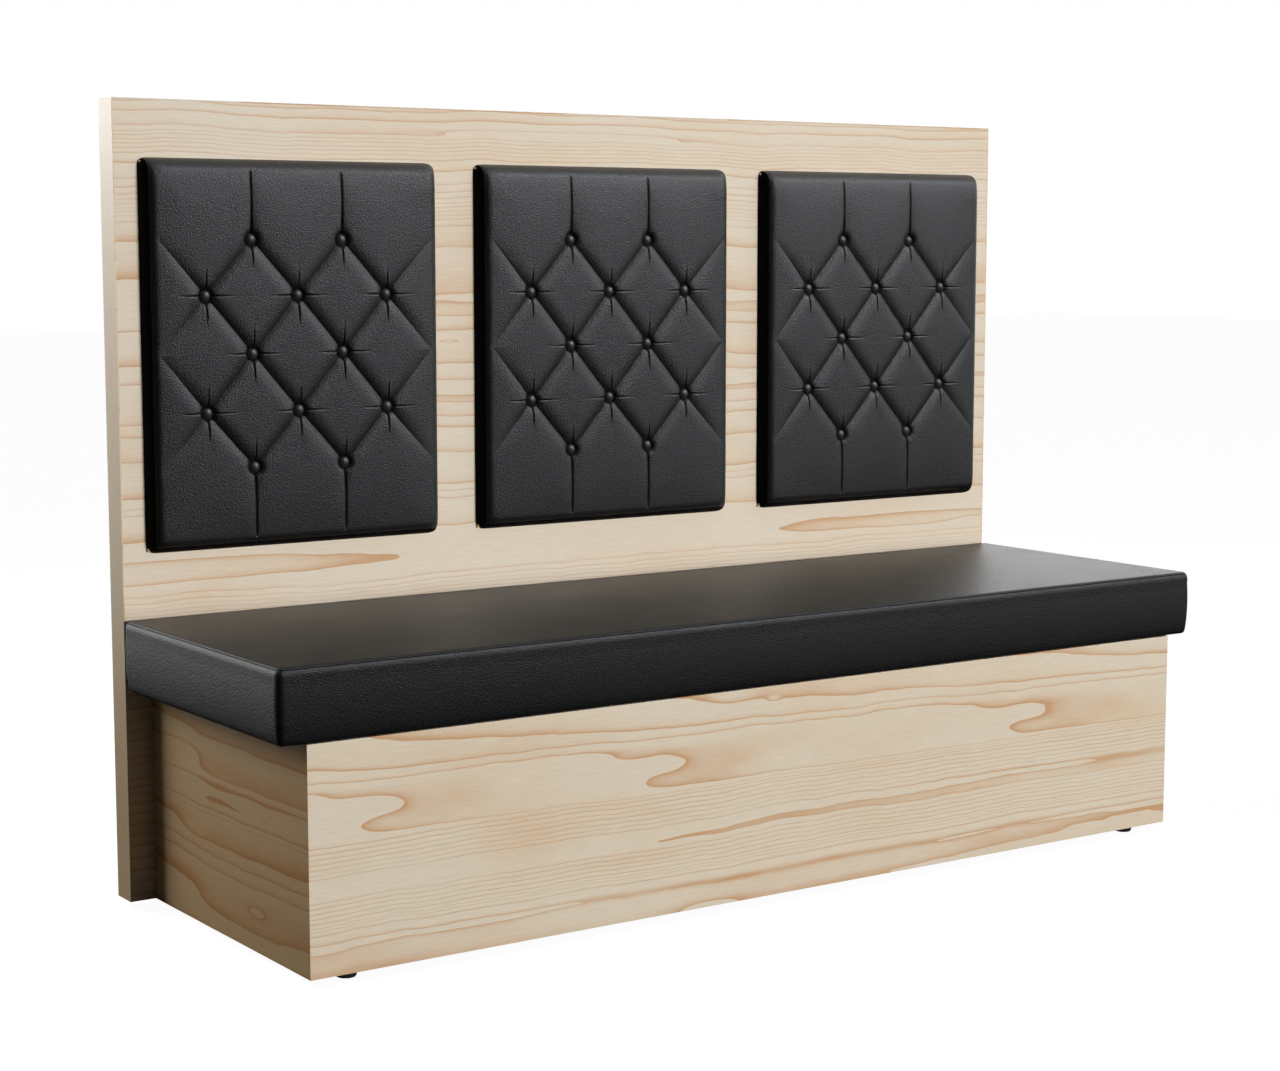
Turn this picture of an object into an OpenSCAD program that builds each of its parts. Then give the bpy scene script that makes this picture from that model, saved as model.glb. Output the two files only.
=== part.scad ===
// Upholstered banquette bench: a plinth box, a tall back panel with three tufted pads, and a long seat cushion.
// The origin is on the floor, at the middle of the bench. +X points right, +Y to the rear and +Z up.
// Left and right are as seen by someone who stands in front of the bench.

/* [Overall] */
// Width over the back panel and the seat
bench_w = 1800; // [1680:10:2400]
// Depth from the front of the plinth to the rear of the back panel
bench_d = 590; // [540:5:680]
// Height of the plinth and the back panel over the floor
foot_h = 13; // [10:1:20]

/* [Back panel] */
// Height of the back panel over its own bottom edge
panel_h = 1260; // [1220:10:1400]
// Thickness of the back panel
panel_t = 50; // [44:1:60]
// Thickness of its front and rear face boards
skin_t = 9; // [8:0.5:11]
// Thickness of the edge bands
band_t = 2; // [1:0.5:3]
// Width of the timbers between the face boards
timber_w = 80; // [70:5:95]

/* [Plinth] */
// Height of the plinth box
plinth_h = 340; // [280:5:380]
// Distance from each end of the panel to the side of the plinth
plinth_inset = 43; // [35:1:80]
// Thickness of the plinth boards
board_t = 16; // [14:1:19]
// Distance from the middle of the bench to a partition
partition_x = 285; // [240:5:400]
// Width and height of the seat cleats
cleat_w = 30; // [26:1:32]
// Width of the posts behind the front corners
post_w = 40; // [34:1:50]

/* [Seat cushion] */
// Thickness of the seat cushion in the middle
seat_t = 112.5; // [90:0.5:140]
// Thickness of the plywood under the foam
seat_board_t = 18; // [15:1:21]
// Radius of the cushion's upright corners
seat_corner_r = 18; // [14:1:30]
// Thickness of the leather at the seat's underside
leather_t = 1.5; // [1:0.1:2]
// Distance from the top of the seat down to the seam
seam_drop = 7; // [5:0.5:10]
// Width of the leather that returns under the seat board
return_w = 25; // [20:1:26]

/* [Pads] */
// Wood from a pad's side to the middle between two pads
pad_side_gap = 37.5; // [30:0.5:50]
// Wood from the panel's top down to the pads
pad_top_gap = 91; // [70:1:110]
// Wood from the seat cushion up to the pads
pad_seat_gap = 100.5; // [85:0.5:120]
// Thickness of a pad at its shoulder
pad_t = 31.5; // [28:0.5:36]
// How much a pad swells from its shoulder to its middle
pad_crown = 6; // [3:0.5:8]
// Width of the rounded edge, from the outline to the shoulder
pad_bevel_w = 22.5; // [20:0.5:28]
// Radius of a pad's corners
pad_corner_r = 9; // [8:0.5:12]
// Thickness of a pad's leather
pad_leather_t = 1.2; // [0.9:0.1:1.5]
// Thickness of a pad's board
pad_board_t = 6; // [5:0.5:7]
// Distance from a pad's side to its outer buttons
tuft_side = 102.5; // [95:0.5:115]
// Distance from a pad's top to its upper buttons
tuft_top = 128; // [120:1:140]
// Depth of the creases between the buttons
crease_d = 8; // [4:0.5:9]

/* [Buttons] */
// Radius of a ball button
button_r = 9; // [8:0.25:9.5]
// Radius of the twine behind a button
tie_r = 0.8; // [0.6:0.1:1]
// Radius of the toggle that holds the twine
toggle_r = 6; // [5:0.5:8]
// Thickness of the toggle
toggle_t = 1.5; // [1:0.1:2]
// Foam and leather squeezed under a button
pinch_t = 2; // [1.5:0.1:2.5]

/* [Panel clips] */
// Distance from a pad's side to a column of clips
clip_side = 62.5; // [50:0.5:80]
// Distance from a pad's top to a row of clips
clip_top = 88; // [70:1:100]
// Radius of a clip's stem
clip_stem_r = 4; // [3:0.5:5]
// Radius of a clip's head
clip_head_r = 9; // [7:0.5:11]
// Thickness of a clip's head
clip_head_t = 2; // [1.5:0.1:3]
// Length of a clip's stem
clip_stem_l = 8; // [6:0.5:8]

/* [Feet] */
// Largest radius of a glide
glide_r = 16; // [14:0.5:20]
// Radius of a glide's flat underside
glide_flat_r = 10; // [8:0.5:12]
// Distance from the panel's end to a foot
foot_x = 115; // [105:1:130]
// Distance from the plinth's front to a front foot
foot_y = 30; // [28:1:34]
// Radius of the levelling stud
stud_r = 4; // [3:0.5:5]
// Length of the stud above the glide
stud_l = 45; // [38:1:48]
// Outer radius of a foot's threaded insert
insert_r = 5.5; // [5.2:0.1:6.5]
// Length of the threaded insert
insert_l = 20; // [16:1:24]
// Height of a front foot's block
foot_block_h = 50; // [50:1:60]
// Width of a front foot's block
foot_block_w = 100; // [90:1:110]

/* [Fasteners] */
// Radius of a panel bolt's shank
bolt_r = 3; // [2.5:0.5:4]
// Radius of a panel bolt's head
bolt_head_r = 7; // [6:0.5:9]
// Thickness of a panel bolt's head
bolt_head_t = 3; // [2:0.5:4]
// Outer radius of a bolt's insert nut
nut_r = 5; // [4.5:0.5:6]
// Length of a bolt's insert nut
nut_l = 20; // [14:1:22]
// Distance from the plinth's sides to the outer bolts
bolt_side = 100; // [95:5:160]
// Distance from the middle to the inner bolts
bolt_mid = 150; // [120:5:200]
// Radius of a seat screw's shank
screw_r = 2.25; // [2:0.25:2.5]
// Radius of a seat screw's head
screw_head_r = 4.5; // [4:0.25:5.5]
// Thickness of a seat screw's head
screw_head_t = 3; // [2:0.5:4]
// Depth of a seat screw in the seat board
screw_bite = 13; // [10:0.5:14]

/* [Clearances] */
// Clearance around soft pieces
soft_gap = 0.3; // [0.2:0.05:0.5]
// Radial clearance of a stud in its insert
thread_gap = 0.05; // [0.02:0.01:0.1]
// Clearance between a glide and what it screws up to
foot_gap = 0.2; // [0.1:0.1:0.5]
// Radial clearance of a bolt or a screw in its hole
hole_gap = 0.4; // [0.2:0.1:0.6]

/* [Hidden] */
$fn = 48;
// How far a cut runs past the surface that it opens
overrun = 1;

// Places of the large pieces
front_y = -bench_d / 2;
rear_y = bench_d / 2;
wall_y = rear_y - panel_t;
core_y0 = wall_y + skin_t;
core_y1 = rear_y - skin_t;
panel_z1 = foot_h + panel_h;
core_x = bench_w / 2 - band_t;
core_z1 = panel_z1 - band_t;
plinth_x = bench_w / 2 - plinth_inset;
inner_x = plinth_x - board_t;
inner_y0 = front_y + board_t;
inner_y1 = wall_y - board_t;
plinth_z1 = foot_h + plinth_h;
bay_w = bench_w / 3;
seat_top = plinth_z1 + seat_t;
pad_w = bay_w - 2 * pad_side_gap;
pad_h = panel_z1 - pad_top_gap - pad_seat_gap - seat_top;
pad_z = seat_top + pad_seat_gap + pad_h / 2;
rail_z = plinth_z1 - timber_w / 2;
low_rail_z = foot_h + timber_w / 2;

// Seat cushion
seat_y0 = front_y;
seat_y1 = wall_y - soft_gap;
seat_y = (seat_y0 + seat_y1) / 2;
seat_half_x = bench_w / 2;
seat_half_y = (seat_y1 - seat_y0) / 2;
seat_crown = 0.7;
seat_edge_t = seat_t - seat_crown;
seam_z = seat_edge_t - seam_drop;
seam_groove = 3.4;
lip_in = 2;
lip_r = 3.2;
belly = 4;
wadding_t = 6;
crown_t = 2.5;
foam_inset = wadding_t + soft_gap;
seat_inner_z = seat_t - crown_t;
corner_steps = 5;
long_side_points = 7;
short_side_points = 3;

// Pad form, on a grid whose columns and rows follow the buttons
tuft_steps = 3;
tuft_dx = (pad_w / 2 - tuft_side) / 2;
tuft_dz = (pad_h / 2 - tuft_top) / 2;
shoulder_x = pad_w / 2 - pad_bevel_w;
shoulder_z = pad_h / 2 - pad_bevel_w;
edge_step_shares = [0.4, 0.11, 0];
crease_reach = tuft_dz / 2;
button_reach = 2 * tuft_dz / 3;
pad_side = pad_bevel_w * edge_step_shares[1];
button_seat = pad_board_t + pinch_t + pad_leather_t;
button_lift = 9.3;
button_tip_r = 1.5;
button_tip_gap = 1.4;
button_n = button_seat + button_lift;
pad_core_x = pad_w / 2 - pad_side - pad_leather_t - soft_gap;
pad_core_z = pad_h / 2 - pad_side - pad_leather_t - soft_gap;

// Places of the buttons over one quarter of a pad, then over the whole pad
button_quarter = [[tuft_dx, 0], [0, tuft_dz], [2 * tuft_dx, tuft_dz], [tuft_dx, 2 * tuft_dz]];
button_rows = [
  for (row = [-2:2])
    for (k = (row % 2 == 0) ? [-1, 1] : [-2, 0, 2])
      [k * tuft_dx, row * tuft_dz]
];
clip_x = pad_w / 2 - clip_side;
clip_z = pad_h / 2 - clip_top;
clip_places = [for (x = [-clip_x, clip_x]) for (z = [-clip_z, clip_z]) [x, z]];

// Creases over one quarter of a pad, each from one end to the other
crease_lines = [
  [[tuft_dx, 0], [0, tuft_dz]],
  [[tuft_dx, 0], [2 * tuft_dx, tuft_dz]],
  [[0, tuft_dz], [tuft_dx, 2 * tuft_dz]],
  [[2 * tuft_dx, tuft_dz], [tuft_dx, 2 * tuft_dz]],
  [[2 * tuft_dx, tuft_dz], [shoulder_x, 2 * tuft_dz]],
  [[2 * tuft_dx, tuft_dz], [shoulder_x, 0]],
  [[tuft_dx, 2 * tuft_dz], [tuft_dx, shoulder_z]]
];

// Feet and fasteners
foot_places = [
  [-bench_w / 2 + foot_x, front_y + foot_y],
  [bench_w / 2 - foot_x, front_y + foot_y],
  [-bench_w / 2 + foot_x, rear_y - panel_t / 2],
  [bench_w / 2 - foot_x, rear_y - panel_t / 2]
];
glide_round_r = 4;
glide_socket = 6;
foot_block_d = 60;
bolt_places = [
  for (x = [-plinth_x + bolt_side, -bolt_mid, bolt_mid, plinth_x - bolt_side])
    for (z = [low_rail_z, rail_z])
      [x, z]
];
screw_y = inner_y0 + cleat_w / 2;
screw_x = inner_x - cleat_w / 2;
screw_span_y = inner_y1 - inner_y0;
side_screw_shares = [0.35, 0.75];
front_screw_share = 0.66;
screw_places = concat(
  [for (k = [-1:1]) [k * plinth_x * front_screw_share, screw_y]],
  [for (k = [-1, 1]) for (s = side_screw_shares) [k * screw_x, inner_y0 + s * screw_span_y]]
);

pine = [0.83, 0.75, 0.64];
pine_edge = [0.80, 0.74, 0.66];
raw_wood = [0.78, 0.66, 0.48];
black_leather = [0.09, 0.09, 0.10];
foam_colour = [0.88, 0.86, 0.76];
black_plastic = [0.05, 0.05, 0.05];
zinc = [0.70, 0.71, 0.72];
dust_cloth = [0.12, 0.12, 0.12];

// A box from its lowest corner to its highest
module block(low, high) {
  translate(low) cube(high - low);
}

// A round bar or bore along +Y, from y0 to y1
module bar_y(place, r, y0, y1) {
  translate([place.x, y0, place.y]) rotate([-90, 0, 0]) cylinder(r = r, h = y1 - y0);
}

// A round bar or bore along +Z, from z0 to z1
module bar_z(place, r, z0, z1) {
  translate([place.x, place.y, z0]) cylinder(r = r, h = z1 - z0);
}

// Back panel

// Places of the pads' clips on the panel, for all three bays
function panel_clips() = [for (bay = [-1:1]) for (p = clip_places) [bay * bay_w + p.x, pad_z + p.y]];

module panel_front_board() {
  color(pine) difference() {
    block([-core_x, wall_y, foot_h], [core_x, core_y0, core_z1]);
    for (p = panel_clips()) bar_y(p, clip_stem_r, wall_y - overrun, core_y0 + overrun);
    for (p = bolt_places) bar_y(p, bolt_r + hole_gap, wall_y - overrun, core_y0 + overrun);
  }
}

module panel_rear_board() {
  color(pine) block([-core_x, core_y1, foot_h], [core_x, rear_y, core_z1]);
}

module panel_rail(z0, z1) {
  color(raw_wood) block([-core_x + timber_w, core_y0, z0], [core_x - timber_w, core_y1, z1]);
}

module panel_top_rail() {
  panel_rail(core_z1 - timber_w, core_z1);
}

module panel_bottom_rail() {
  difference() {
    panel_rail(foot_h, foot_h + timber_w);
    for (p = bolt_places) bar_y(p, nut_r, core_y0 - overrun, core_y0 + nut_l);
    for (p = foot_places) bar_z(p, insert_r, foot_h - overrun, foot_h + stud_l + overrun);
  }
}

module panel_seat_rail() {
  difference() {
    panel_rail(plinth_z1 - timber_w, plinth_z1);
    for (p = bolt_places) bar_y(p, nut_r, core_y0 - overrun, core_y0 + nut_l);
  }
}

module panel_end_stile(side) {
  low = side < 0 ? -core_x : core_x - timber_w;
  color(raw_wood) difference() {
    block([low, core_y0, foot_h], [low + timber_w, core_y1, core_z1]);
    for (p = foot_places) bar_z(p, insert_r, foot_h - overrun, foot_h + stud_l + overrun);
  }
}

module panel_mid_stile(side) {
  mid = side * bay_w / 2;
  color(raw_wood)
    block([mid - timber_w / 2, core_y0, plinth_z1], [mid + timber_w / 2, core_y1, core_z1 - timber_w]);
}

module panel_pad_rails() {
  end_x = core_x - timber_w;
  stile_x = bay_w / 2;
  spans = [
    [-end_x, -stile_x - timber_w / 2],
    [-stile_x + timber_w / 2, stile_x - timber_w / 2],
    [stile_x + timber_w / 2, end_x]
  ];
  color(raw_wood)
    for (span = spans)
      for (z = [pad_z - clip_z, pad_z + clip_z])
        block([span[0], core_y0, z - timber_w / 2], [span[1], core_y1, z + timber_w / 2]);
}

module panel_side_band(side) {
  low = side < 0 ? -bench_w / 2 : core_x;
  color(pine_edge) block([low, wall_y, foot_h], [low + band_t, rear_y, panel_z1]);
}

module panel_top_band() {
  color(pine_edge) block([-core_x, wall_y, core_z1], [core_x, rear_y, panel_z1]);
}

// Pads. A pad is drawn lying down: x across, y up the panel and z out of the panel, then stood in its bay.

module in_bay(bay) {
  translate([bay * bay_w, wall_y, pad_z]) rotate([90, 0, 0]) children();
}

// Distance from a point to a line between two points
function line_distance(p, line) =
  let (d = line[1] - line[0], t = max(0, min(1, ((p - line[0]) * d) / (d * d))))
  norm(p - line[0] - t * d);

// How strongly a crease or a button pulls at a distance: 1 on it, falling smoothly to 0 at its reach
function pull_share(distance, reach) = pow(max(0, 1 - distance / reach), 2);

// Quarter-ellipse edge: 0 at the outline and 1 from the shoulder inwards
function edge_share(inset) = sqrt(1 - pow(1 - min(inset / pad_bevel_w, 1), 2));

// Swell from the shoulder to the middle
function crown_share(p) =
  (1 - pow(min(p.x / shoulder_x, 1), 4)) * (1 - pow(min(p.y / shoulder_z, 1), 4));

// Height of the leather over the panel at (u, v) from the pad's middle
function pad_height(u, v) =
  let (
    p = [abs(u), abs(v)],
    inset = max(0, min(pad_w / 2 - p.x, pad_h / 2 - p.y)),
    crease = max([for (line = crease_lines) pull_share(line_distance(p, line), crease_reach)]),
    button = max([for (b = button_quarter) pull_share(norm(p - b), button_reach)]),
    fade = min(1, inset / (2 * pad_bevel_w)),
    top = pad_t * edge_share(inset) + pad_crown * crown_share(p) - crease_d * crease * fade
  )
  top * (1 - button) + button_seat * button;

// Grid lines from the middle outwards: on the buttons' pitch, then to the shoulder, then over the edge
function half_lines(pitch, shoulder, half) = concat(
  [for (k = [0:2 * tuft_steps]) k * pitch / tuft_steps],
  [for (k = [1:tuft_steps]) 2 * pitch + (shoulder - 2 * pitch) * k / tuft_steps],
  [for (s = edge_step_shares) half - s * pad_bevel_w]
);
function mirrored(half) = concat([for (i = [len(half) - 1:-1:1]) -half[i]], half);
grid_u = mirrored(half_lines(tuft_dx, shoulder_x, pad_w / 2));
grid_v = mirrored(half_lines(tuft_dz, shoulder_z, pad_h / 2));
grid_nu = len(grid_u);
grid_nv = len(grid_v);

// Moves a point of the square grid onto the pad's rounded corner
function corner_rounded(u, v) =
  let (
    du = abs(u) - (pad_w / 2 - pad_corner_r),
    dv = abs(v) - (pad_h / 2 - pad_corner_r),
    k = (du > 0 && dv > 0) ? max(du, dv) / norm([du, dv]) : 1
  )
  k == 1 ? [u, v] : [sign(u) * (abs(u) - du + k * du), sign(v) * (abs(v) - dv + k * dv)];

// The tufted surface drawn in by a distance all round and from the front, no lower than a floor
function pad_surface(inward, floor_n) = [
  for (v = grid_v)
    for (u = grid_u)
      let (
        p = corner_rounded(u, v),
        on_edge = abs(u) >= pad_w / 2 || abs(v) >= pad_h / 2,
        n = on_edge ? floor_n : max(floor_n, pad_height(u, v) - inward)
      )
      [p.x * (1 - 2 * inward / pad_w), p.y * (1 - 2 * inward / pad_h), n]
];

// Is this cell split from its upper left to its lower right? The splits follow the creases, and on the pad's
// corners the mitre.
function falls(i, j) =
  let (
    mid = [grid_u[i] + grid_u[i + 1], grid_v[j] + grid_v[j + 1]] / 2,
    on_corner = abs(mid.x) > shoulder_x && abs(mid.y) > shoulder_z,
    a = abs(mid.x / tuft_dx + mid.y / tuft_dz),
    b = abs(mid.x / tuft_dx - mid.y / tuft_dz)
  )
  on_corner ? mid.x * mid.y < 0 : abs(a - 1 - 2 * floor(a / 2)) < abs(b - 1 - 2 * floor(b / 2));

// Triangles of one grid surface whose points start at a number, seen from the front or from behind
function grid_faces(start, front) = [
  for (j = [0:grid_nv - 2])
    for (i = [0:grid_nu - 2])
      let (
        a = start + j * grid_nu + i,
        b = a + 1,
        c = b + grid_nu,
        d = a + grid_nu,
        pair = falls(i, j) ? [[a, d, b], [b, d, c]] : [[a, c, b], [a, d, c]]
      )
      for (t = pair) front ? t : [t[0], t[2], t[1]]
];

// Point numbers round the edge of a grid surface, anticlockwise seen from the front
function grid_rim(start) = concat(
  [for (i = [0:grid_nu - 2]) start + i],
  [for (j = [0:grid_nv - 2]) start + j * grid_nu + grid_nu - 1],
  [for (i = [grid_nu - 1:-1:1]) start + (grid_nv - 1) * grid_nu + i],
  [for (j = [grid_nv - 1:-1:1]) start + j * grid_nu]
);

// Triangles between two rims
function band_faces(rim_a, rim_b) = [
  for (k = [0:len(rim_a) - 1])
    let (m = (k + 1) % len(rim_a))
    for (t = [[rim_a[k], rim_a[m], rim_b[k]], [rim_a[m], rim_b[m], rim_b[k]]]) t
];

module pad_cover() {
  points = concat(pad_surface(0, 0), pad_surface(pad_leather_t, 0));
  inner = grid_nu * grid_nv;
  color(black_leather)
    polyhedron(
      points = points,
      faces = concat(
        grid_faces(0, true),
        grid_faces(inner, false),
        band_faces(grid_rim(0), grid_rim(inner))
      )
    );
}

// The foam stands on the pad's board, with upright sides up to the first rounding of the leather
module pad_foam() {
  surface = [for (p = pad_surface(pad_leather_t + soft_gap, pad_board_t))
    [sign(p.x) * min(abs(p.x), pad_core_x), sign(p.y) * min(abs(p.y), pad_core_z), p.z]];
  rim = grid_rim(0);
  middle = len(surface);
  color(foam_colour)
    polyhedron(
      points = concat(surface, [[0, 0, pad_board_t]]),
      faces = concat(
        grid_faces(0, true),
        [for (k = [0:len(rim) - 1]) [rim[k], rim[(k + 1) % len(rim)], middle]]
      )
    );
}

module pad_board() {
  color(raw_wood) difference() {
    block([-pad_core_x, -pad_core_z, 0], [pad_core_x, pad_core_z, pad_board_t]);
    for (p = button_rows) bar_z(p, tie_r, -overrun, pad_board_t + overrun);
    for (p = button_rows) bar_z(p, toggle_r, -overrun, toggle_t);
    for (p = clip_places) bar_z(p, clip_head_r, -overrun, clip_head_t);
  }
}

// A ball button: half a ball in front and a cone behind, which sits in its tuft
module pad_buttons() {
  tip_n = button_seat + button_tip_gap;
  color(black_leather)
    for (p = button_rows)
      translate([p.x, p.y, button_n]) {
        intersection() {
          sphere(r = button_r);
          translate([-button_r, -button_r, 0]) cube([2 * button_r, 2 * button_r, button_r]);
        }
        translate([0, 0, tip_n - button_n])
          cylinder(r1 = button_tip_r, r2 = button_r, h = button_n - tip_n);
      }
}

module pad_ties() {
  color(dust_cloth)
    for (p = button_rows) {
      bar_z(p, toggle_r, 0, toggle_t);
      bar_z(p, tie_r, toggle_t, button_seat + button_tip_gap);
    }
}

module pad_clips() {
  color(black_plastic)
    for (p = clip_places) {
      bar_z(p, clip_head_r, 0, clip_head_t);
      bar_z(p, clip_stem_r, -clip_stem_l, 0);
    }
}

// Plinth

module plinth_front_board() {
  color(pine)
    translate([0, 0, foot_h])
      linear_extrude(plinth_h)
        polygon([[-plinth_x, front_y], [plinth_x, front_y], [inner_x, inner_y0], [-inner_x, inner_y0]]);
}

module plinth_side_board(side) {
  color(pine)
    translate([0, 0, foot_h])
      linear_extrude(plinth_h)
        polygon([
          [side * plinth_x, front_y],
          [side * inner_x, inner_y0],
          [side * inner_x, wall_y],
          [side * plinth_x, wall_y]
        ]);
}

module plinth_rail(z) {
  color(raw_wood) difference() {
    block([-inner_x, inner_y1, z - timber_w / 2], [inner_x, wall_y, z + timber_w / 2]);
    for (p = bolt_places) bar_y(p, bolt_r + hole_gap, inner_y1 - overrun, wall_y + overrun);
  }
}

module plinth_partition(side) {
  low = side * partition_x - board_t / 2;
  color(raw_wood) block([low, inner_y0, foot_h], [low + board_t, inner_y1, plinth_z1]);
}

module plinth_corner_posts() {
  color(raw_wood)
    for (side = [-1, 1])
      let (low = side < 0 ? -inner_x : inner_x - post_w)
        block([low, inner_y0, foot_h + foot_block_h], [low + post_w, inner_y0 + post_w, plinth_z1]);
}

module plinth_seat_cleats() {
  wall = board_t / 2;
  z0 = plinth_z1 - cleat_w;
  spans = [
    [-inner_x + post_w, -partition_x - wall],
    [-partition_x + wall, partition_x - wall],
    [partition_x + wall, inner_x - post_w]
  ];
  color(raw_wood) difference() {
    union() {
      for (span = spans) block([span[0], inner_y0, z0], [span[1], inner_y0 + cleat_w, plinth_z1]);
      for (side = [-1, 1])
        let (low = side < 0 ? -inner_x : inner_x - cleat_w)
          block([low, inner_y0 + post_w, z0], [low + cleat_w, inner_y1, plinth_z1]);
    }
    for (p = screw_places) bar_z(p, screw_r + hole_gap, z0 - overrun, plinth_z1 + overrun);
  }
}

module front_foot_blocks() {
  color(raw_wood) difference() {
    for (side = [-1, 1])
      let (low = side < 0 ? -inner_x : inner_x - foot_block_w)
        block([low, inner_y0, foot_h], [low + foot_block_w, inner_y0 + foot_block_d, foot_h + foot_block_h]);
    for (p = foot_places) bar_z(p, insert_r, foot_h - overrun, foot_h + foot_block_h + overrun);
  }
}

// Seat

// Outline of the cushion drawn in by an inset, as a rectangle with round corners
module seat_outline(inset) {
  r = seat_corner_r - inset;
  x = seat_half_x - inset;
  y = seat_half_y - inset;
  translate([0, seat_y]) {
    translate([-x + r, -y]) square([2 * (x - r), 2 * y]);
    translate([-x, -y + r]) square([2 * x, 2 * (y - r)]);
    for (sx = [-1, 1]) for (sy = [-1, 1]) translate([sx * (x - r), sy * (y - r)]) circle(r = r);
  }
}

// One ring of the cover: the outline at an inset and a height, as points anticlockwise from the right rear
function between(p, q, count) = [for (k = [1:count]) p + (q - p) * k / (count + 1)];
function seat_corner(sx, sy, inset, turn) =
  let (r = max(seat_corner_r - inset, soft_gap))
  [for (k = [0:corner_steps])
    let (a = turn + 90 * k / corner_steps)
    [sx * (seat_half_x - inset - r) + r * cos(a), seat_y + sy * (seat_half_y - inset - r) + r * sin(a)]];
function seat_ring(inset, z) =
  let (
    a = seat_corner(1, 1, inset, 0),
    b = seat_corner(-1, 1, inset, 90),
    c = seat_corner(-1, -1, inset, 180),
    d = seat_corner(1, -1, inset, 270),
    flat = concat(
      a, between(a[corner_steps], b[0], long_side_points),
      b, between(b[corner_steps], c[0], short_side_points),
      c, between(c[corner_steps], d[0], long_side_points),
      d, between(d[corner_steps], a[0], short_side_points)
    )
  )
  [for (p = flat) [p.x, p.y, plinth_z1 + z]];

// From the pocket's ceiling down and out under the board, then up the boxing, over the seam and onto the crown
seat_belly_z_shares = [0.27, 0.52, 0.8];
seat_belly_in_shares = [0.08, 0, 0.15];
seat_profile = [
  [wadding_t, seat_inner_z],
  [wadding_t, leather_t],
  [return_w, leather_t],
  [return_w, 0],
  [belly, 0],
  [belly * 0.3, belly],
  [belly * seat_belly_in_shares[0], seat_edge_t * seat_belly_z_shares[0]],
  [belly * seat_belly_in_shares[1], seat_edge_t * seat_belly_z_shares[1]],
  [belly * seat_belly_in_shares[2], seat_edge_t * seat_belly_z_shares[2]],
  [lip_in, seam_z - lip_in / 2],
  [seam_groove, seam_z],
  [lip_in, seam_z + lip_in],
  [lip_in + lip_r * 0.6, seat_edge_t - lip_r * 0.4],
  [lip_in + 2 * lip_r, seat_edge_t],
  [seat_half_y * 0.3, seat_t - seat_crown * 0.3],
  [seat_half_y * 0.7, seat_t]
];

module seat_cover() {
  rings = [for (p = seat_profile) seat_ring(p[0], p[1])];
  count = len(rings[0]);
  last = (len(rings) - 1) * count;
  ceiling = len(rings) * count;
  crown = ceiling + 1;
  color(black_leather)
    polyhedron(
      points = concat(
        [for (ring = rings) for (p = ring) p],
        [[0, seat_y, plinth_z1 + seat_inner_z], [0, seat_y, plinth_z1 + seat_t]]
      ),
      faces = [
        for (k = [0:count - 1])
          let (m = (k + 1) % count)
          for (t = concat(
            [[ceiling, m, k], [crown, last + k, last + m]],
            [for (r = [0:len(rings) - 2])
              let (a = r * count + k, b = r * count + m)
              for (half = [[a, b, a + count], [b, b + count, a + count]]) half]
          )) t
      ]
    );
}

module seat_board() {
  z0 = plinth_z1 + leather_t;
  color(raw_wood) difference() {
    translate([0, 0, z0]) linear_extrude(seat_board_t) seat_outline(foam_inset);
    for (p = screw_places) bar_z(p, screw_r, z0 - overrun, z0 + screw_bite);
  }
}

module seat_foam() {
  z0 = plinth_z1 + leather_t + seat_board_t;
  color(foam_colour)
    translate([0, 0, z0])
      linear_extrude(plinth_z1 + seat_inner_z - soft_gap - z0)
        seat_outline(foam_inset);
}

module seat_dust_cover() {
  inset = return_w + soft_gap;
  color(dust_cloth) difference() {
    block(
      [-seat_half_x + inset, seat_y0 + inset, plinth_z1],
      [seat_half_x - inset, seat_y1 - inset, plinth_z1 + leather_t]
    );
    for (p = screw_places) bar_z(p, screw_r + hole_gap, plinth_z1 - overrun, plinth_z1 + leather_t + overrun);
  }
}

// Fasteners

module panel_bolts() {
  color(zinc)
    for (p = bolt_places) {
      bar_y(p, bolt_head_r, inner_y1 - bolt_head_t, inner_y1);
      bar_y(p, bolt_r, inner_y1, core_y0 + nut_l);
    }
}

module panel_bolt_nuts() {
  color(zinc)
    for (p = bolt_places)
      difference() {
        bar_y(p, nut_r, core_y0, core_y0 + nut_l);
        bar_y(p, bolt_r, core_y0 - overrun, core_y0 + nut_l + overrun);
      }
}

module seat_screws() {
  z0 = plinth_z1 - cleat_w;
  color(zinc)
    for (p = screw_places) {
      bar_z(p, screw_head_r, z0 - screw_head_t, z0);
      bar_z(p, screw_r, z0, plinth_z1 + leather_t + screw_bite);
    }
}

module foot_inserts() {
  color(zinc)
    for (p = foot_places)
      difference() {
        bar_z(p, insert_r, foot_h, foot_h + insert_l);
        bar_z(p, stud_r + thread_gap, foot_h - overrun, foot_h + insert_l + overrun);
      }
}

// Feet

// A glide's section from its axis outwards, with a rounded lower edge
glide_section = concat(
  [[0, 0], [glide_flat_r, 0]],
  [for (a = [-60:20:-20])
    [glide_r - glide_round_r + glide_round_r * cos(a), 2 * glide_round_r + 2 * glide_round_r * sin(a)]],
  [[glide_r, 2 * glide_round_r], [glide_r, foot_h - foot_gap], [0, foot_h - foot_gap]]
);

module glide(k) {
  color(black_plastic)
    translate([foot_places[k].x, foot_places[k].y, 0])
      difference() {
        rotate_extrude() polygon(glide_section);
        bar_z([0, 0], stud_r, foot_h - foot_gap - glide_socket, foot_h + overrun);
      }
}

module stud(k) {
  color(zinc) bar_z(foot_places[k], stud_r, foot_h - foot_gap - glide_socket, foot_h + stud_l);
}

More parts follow.
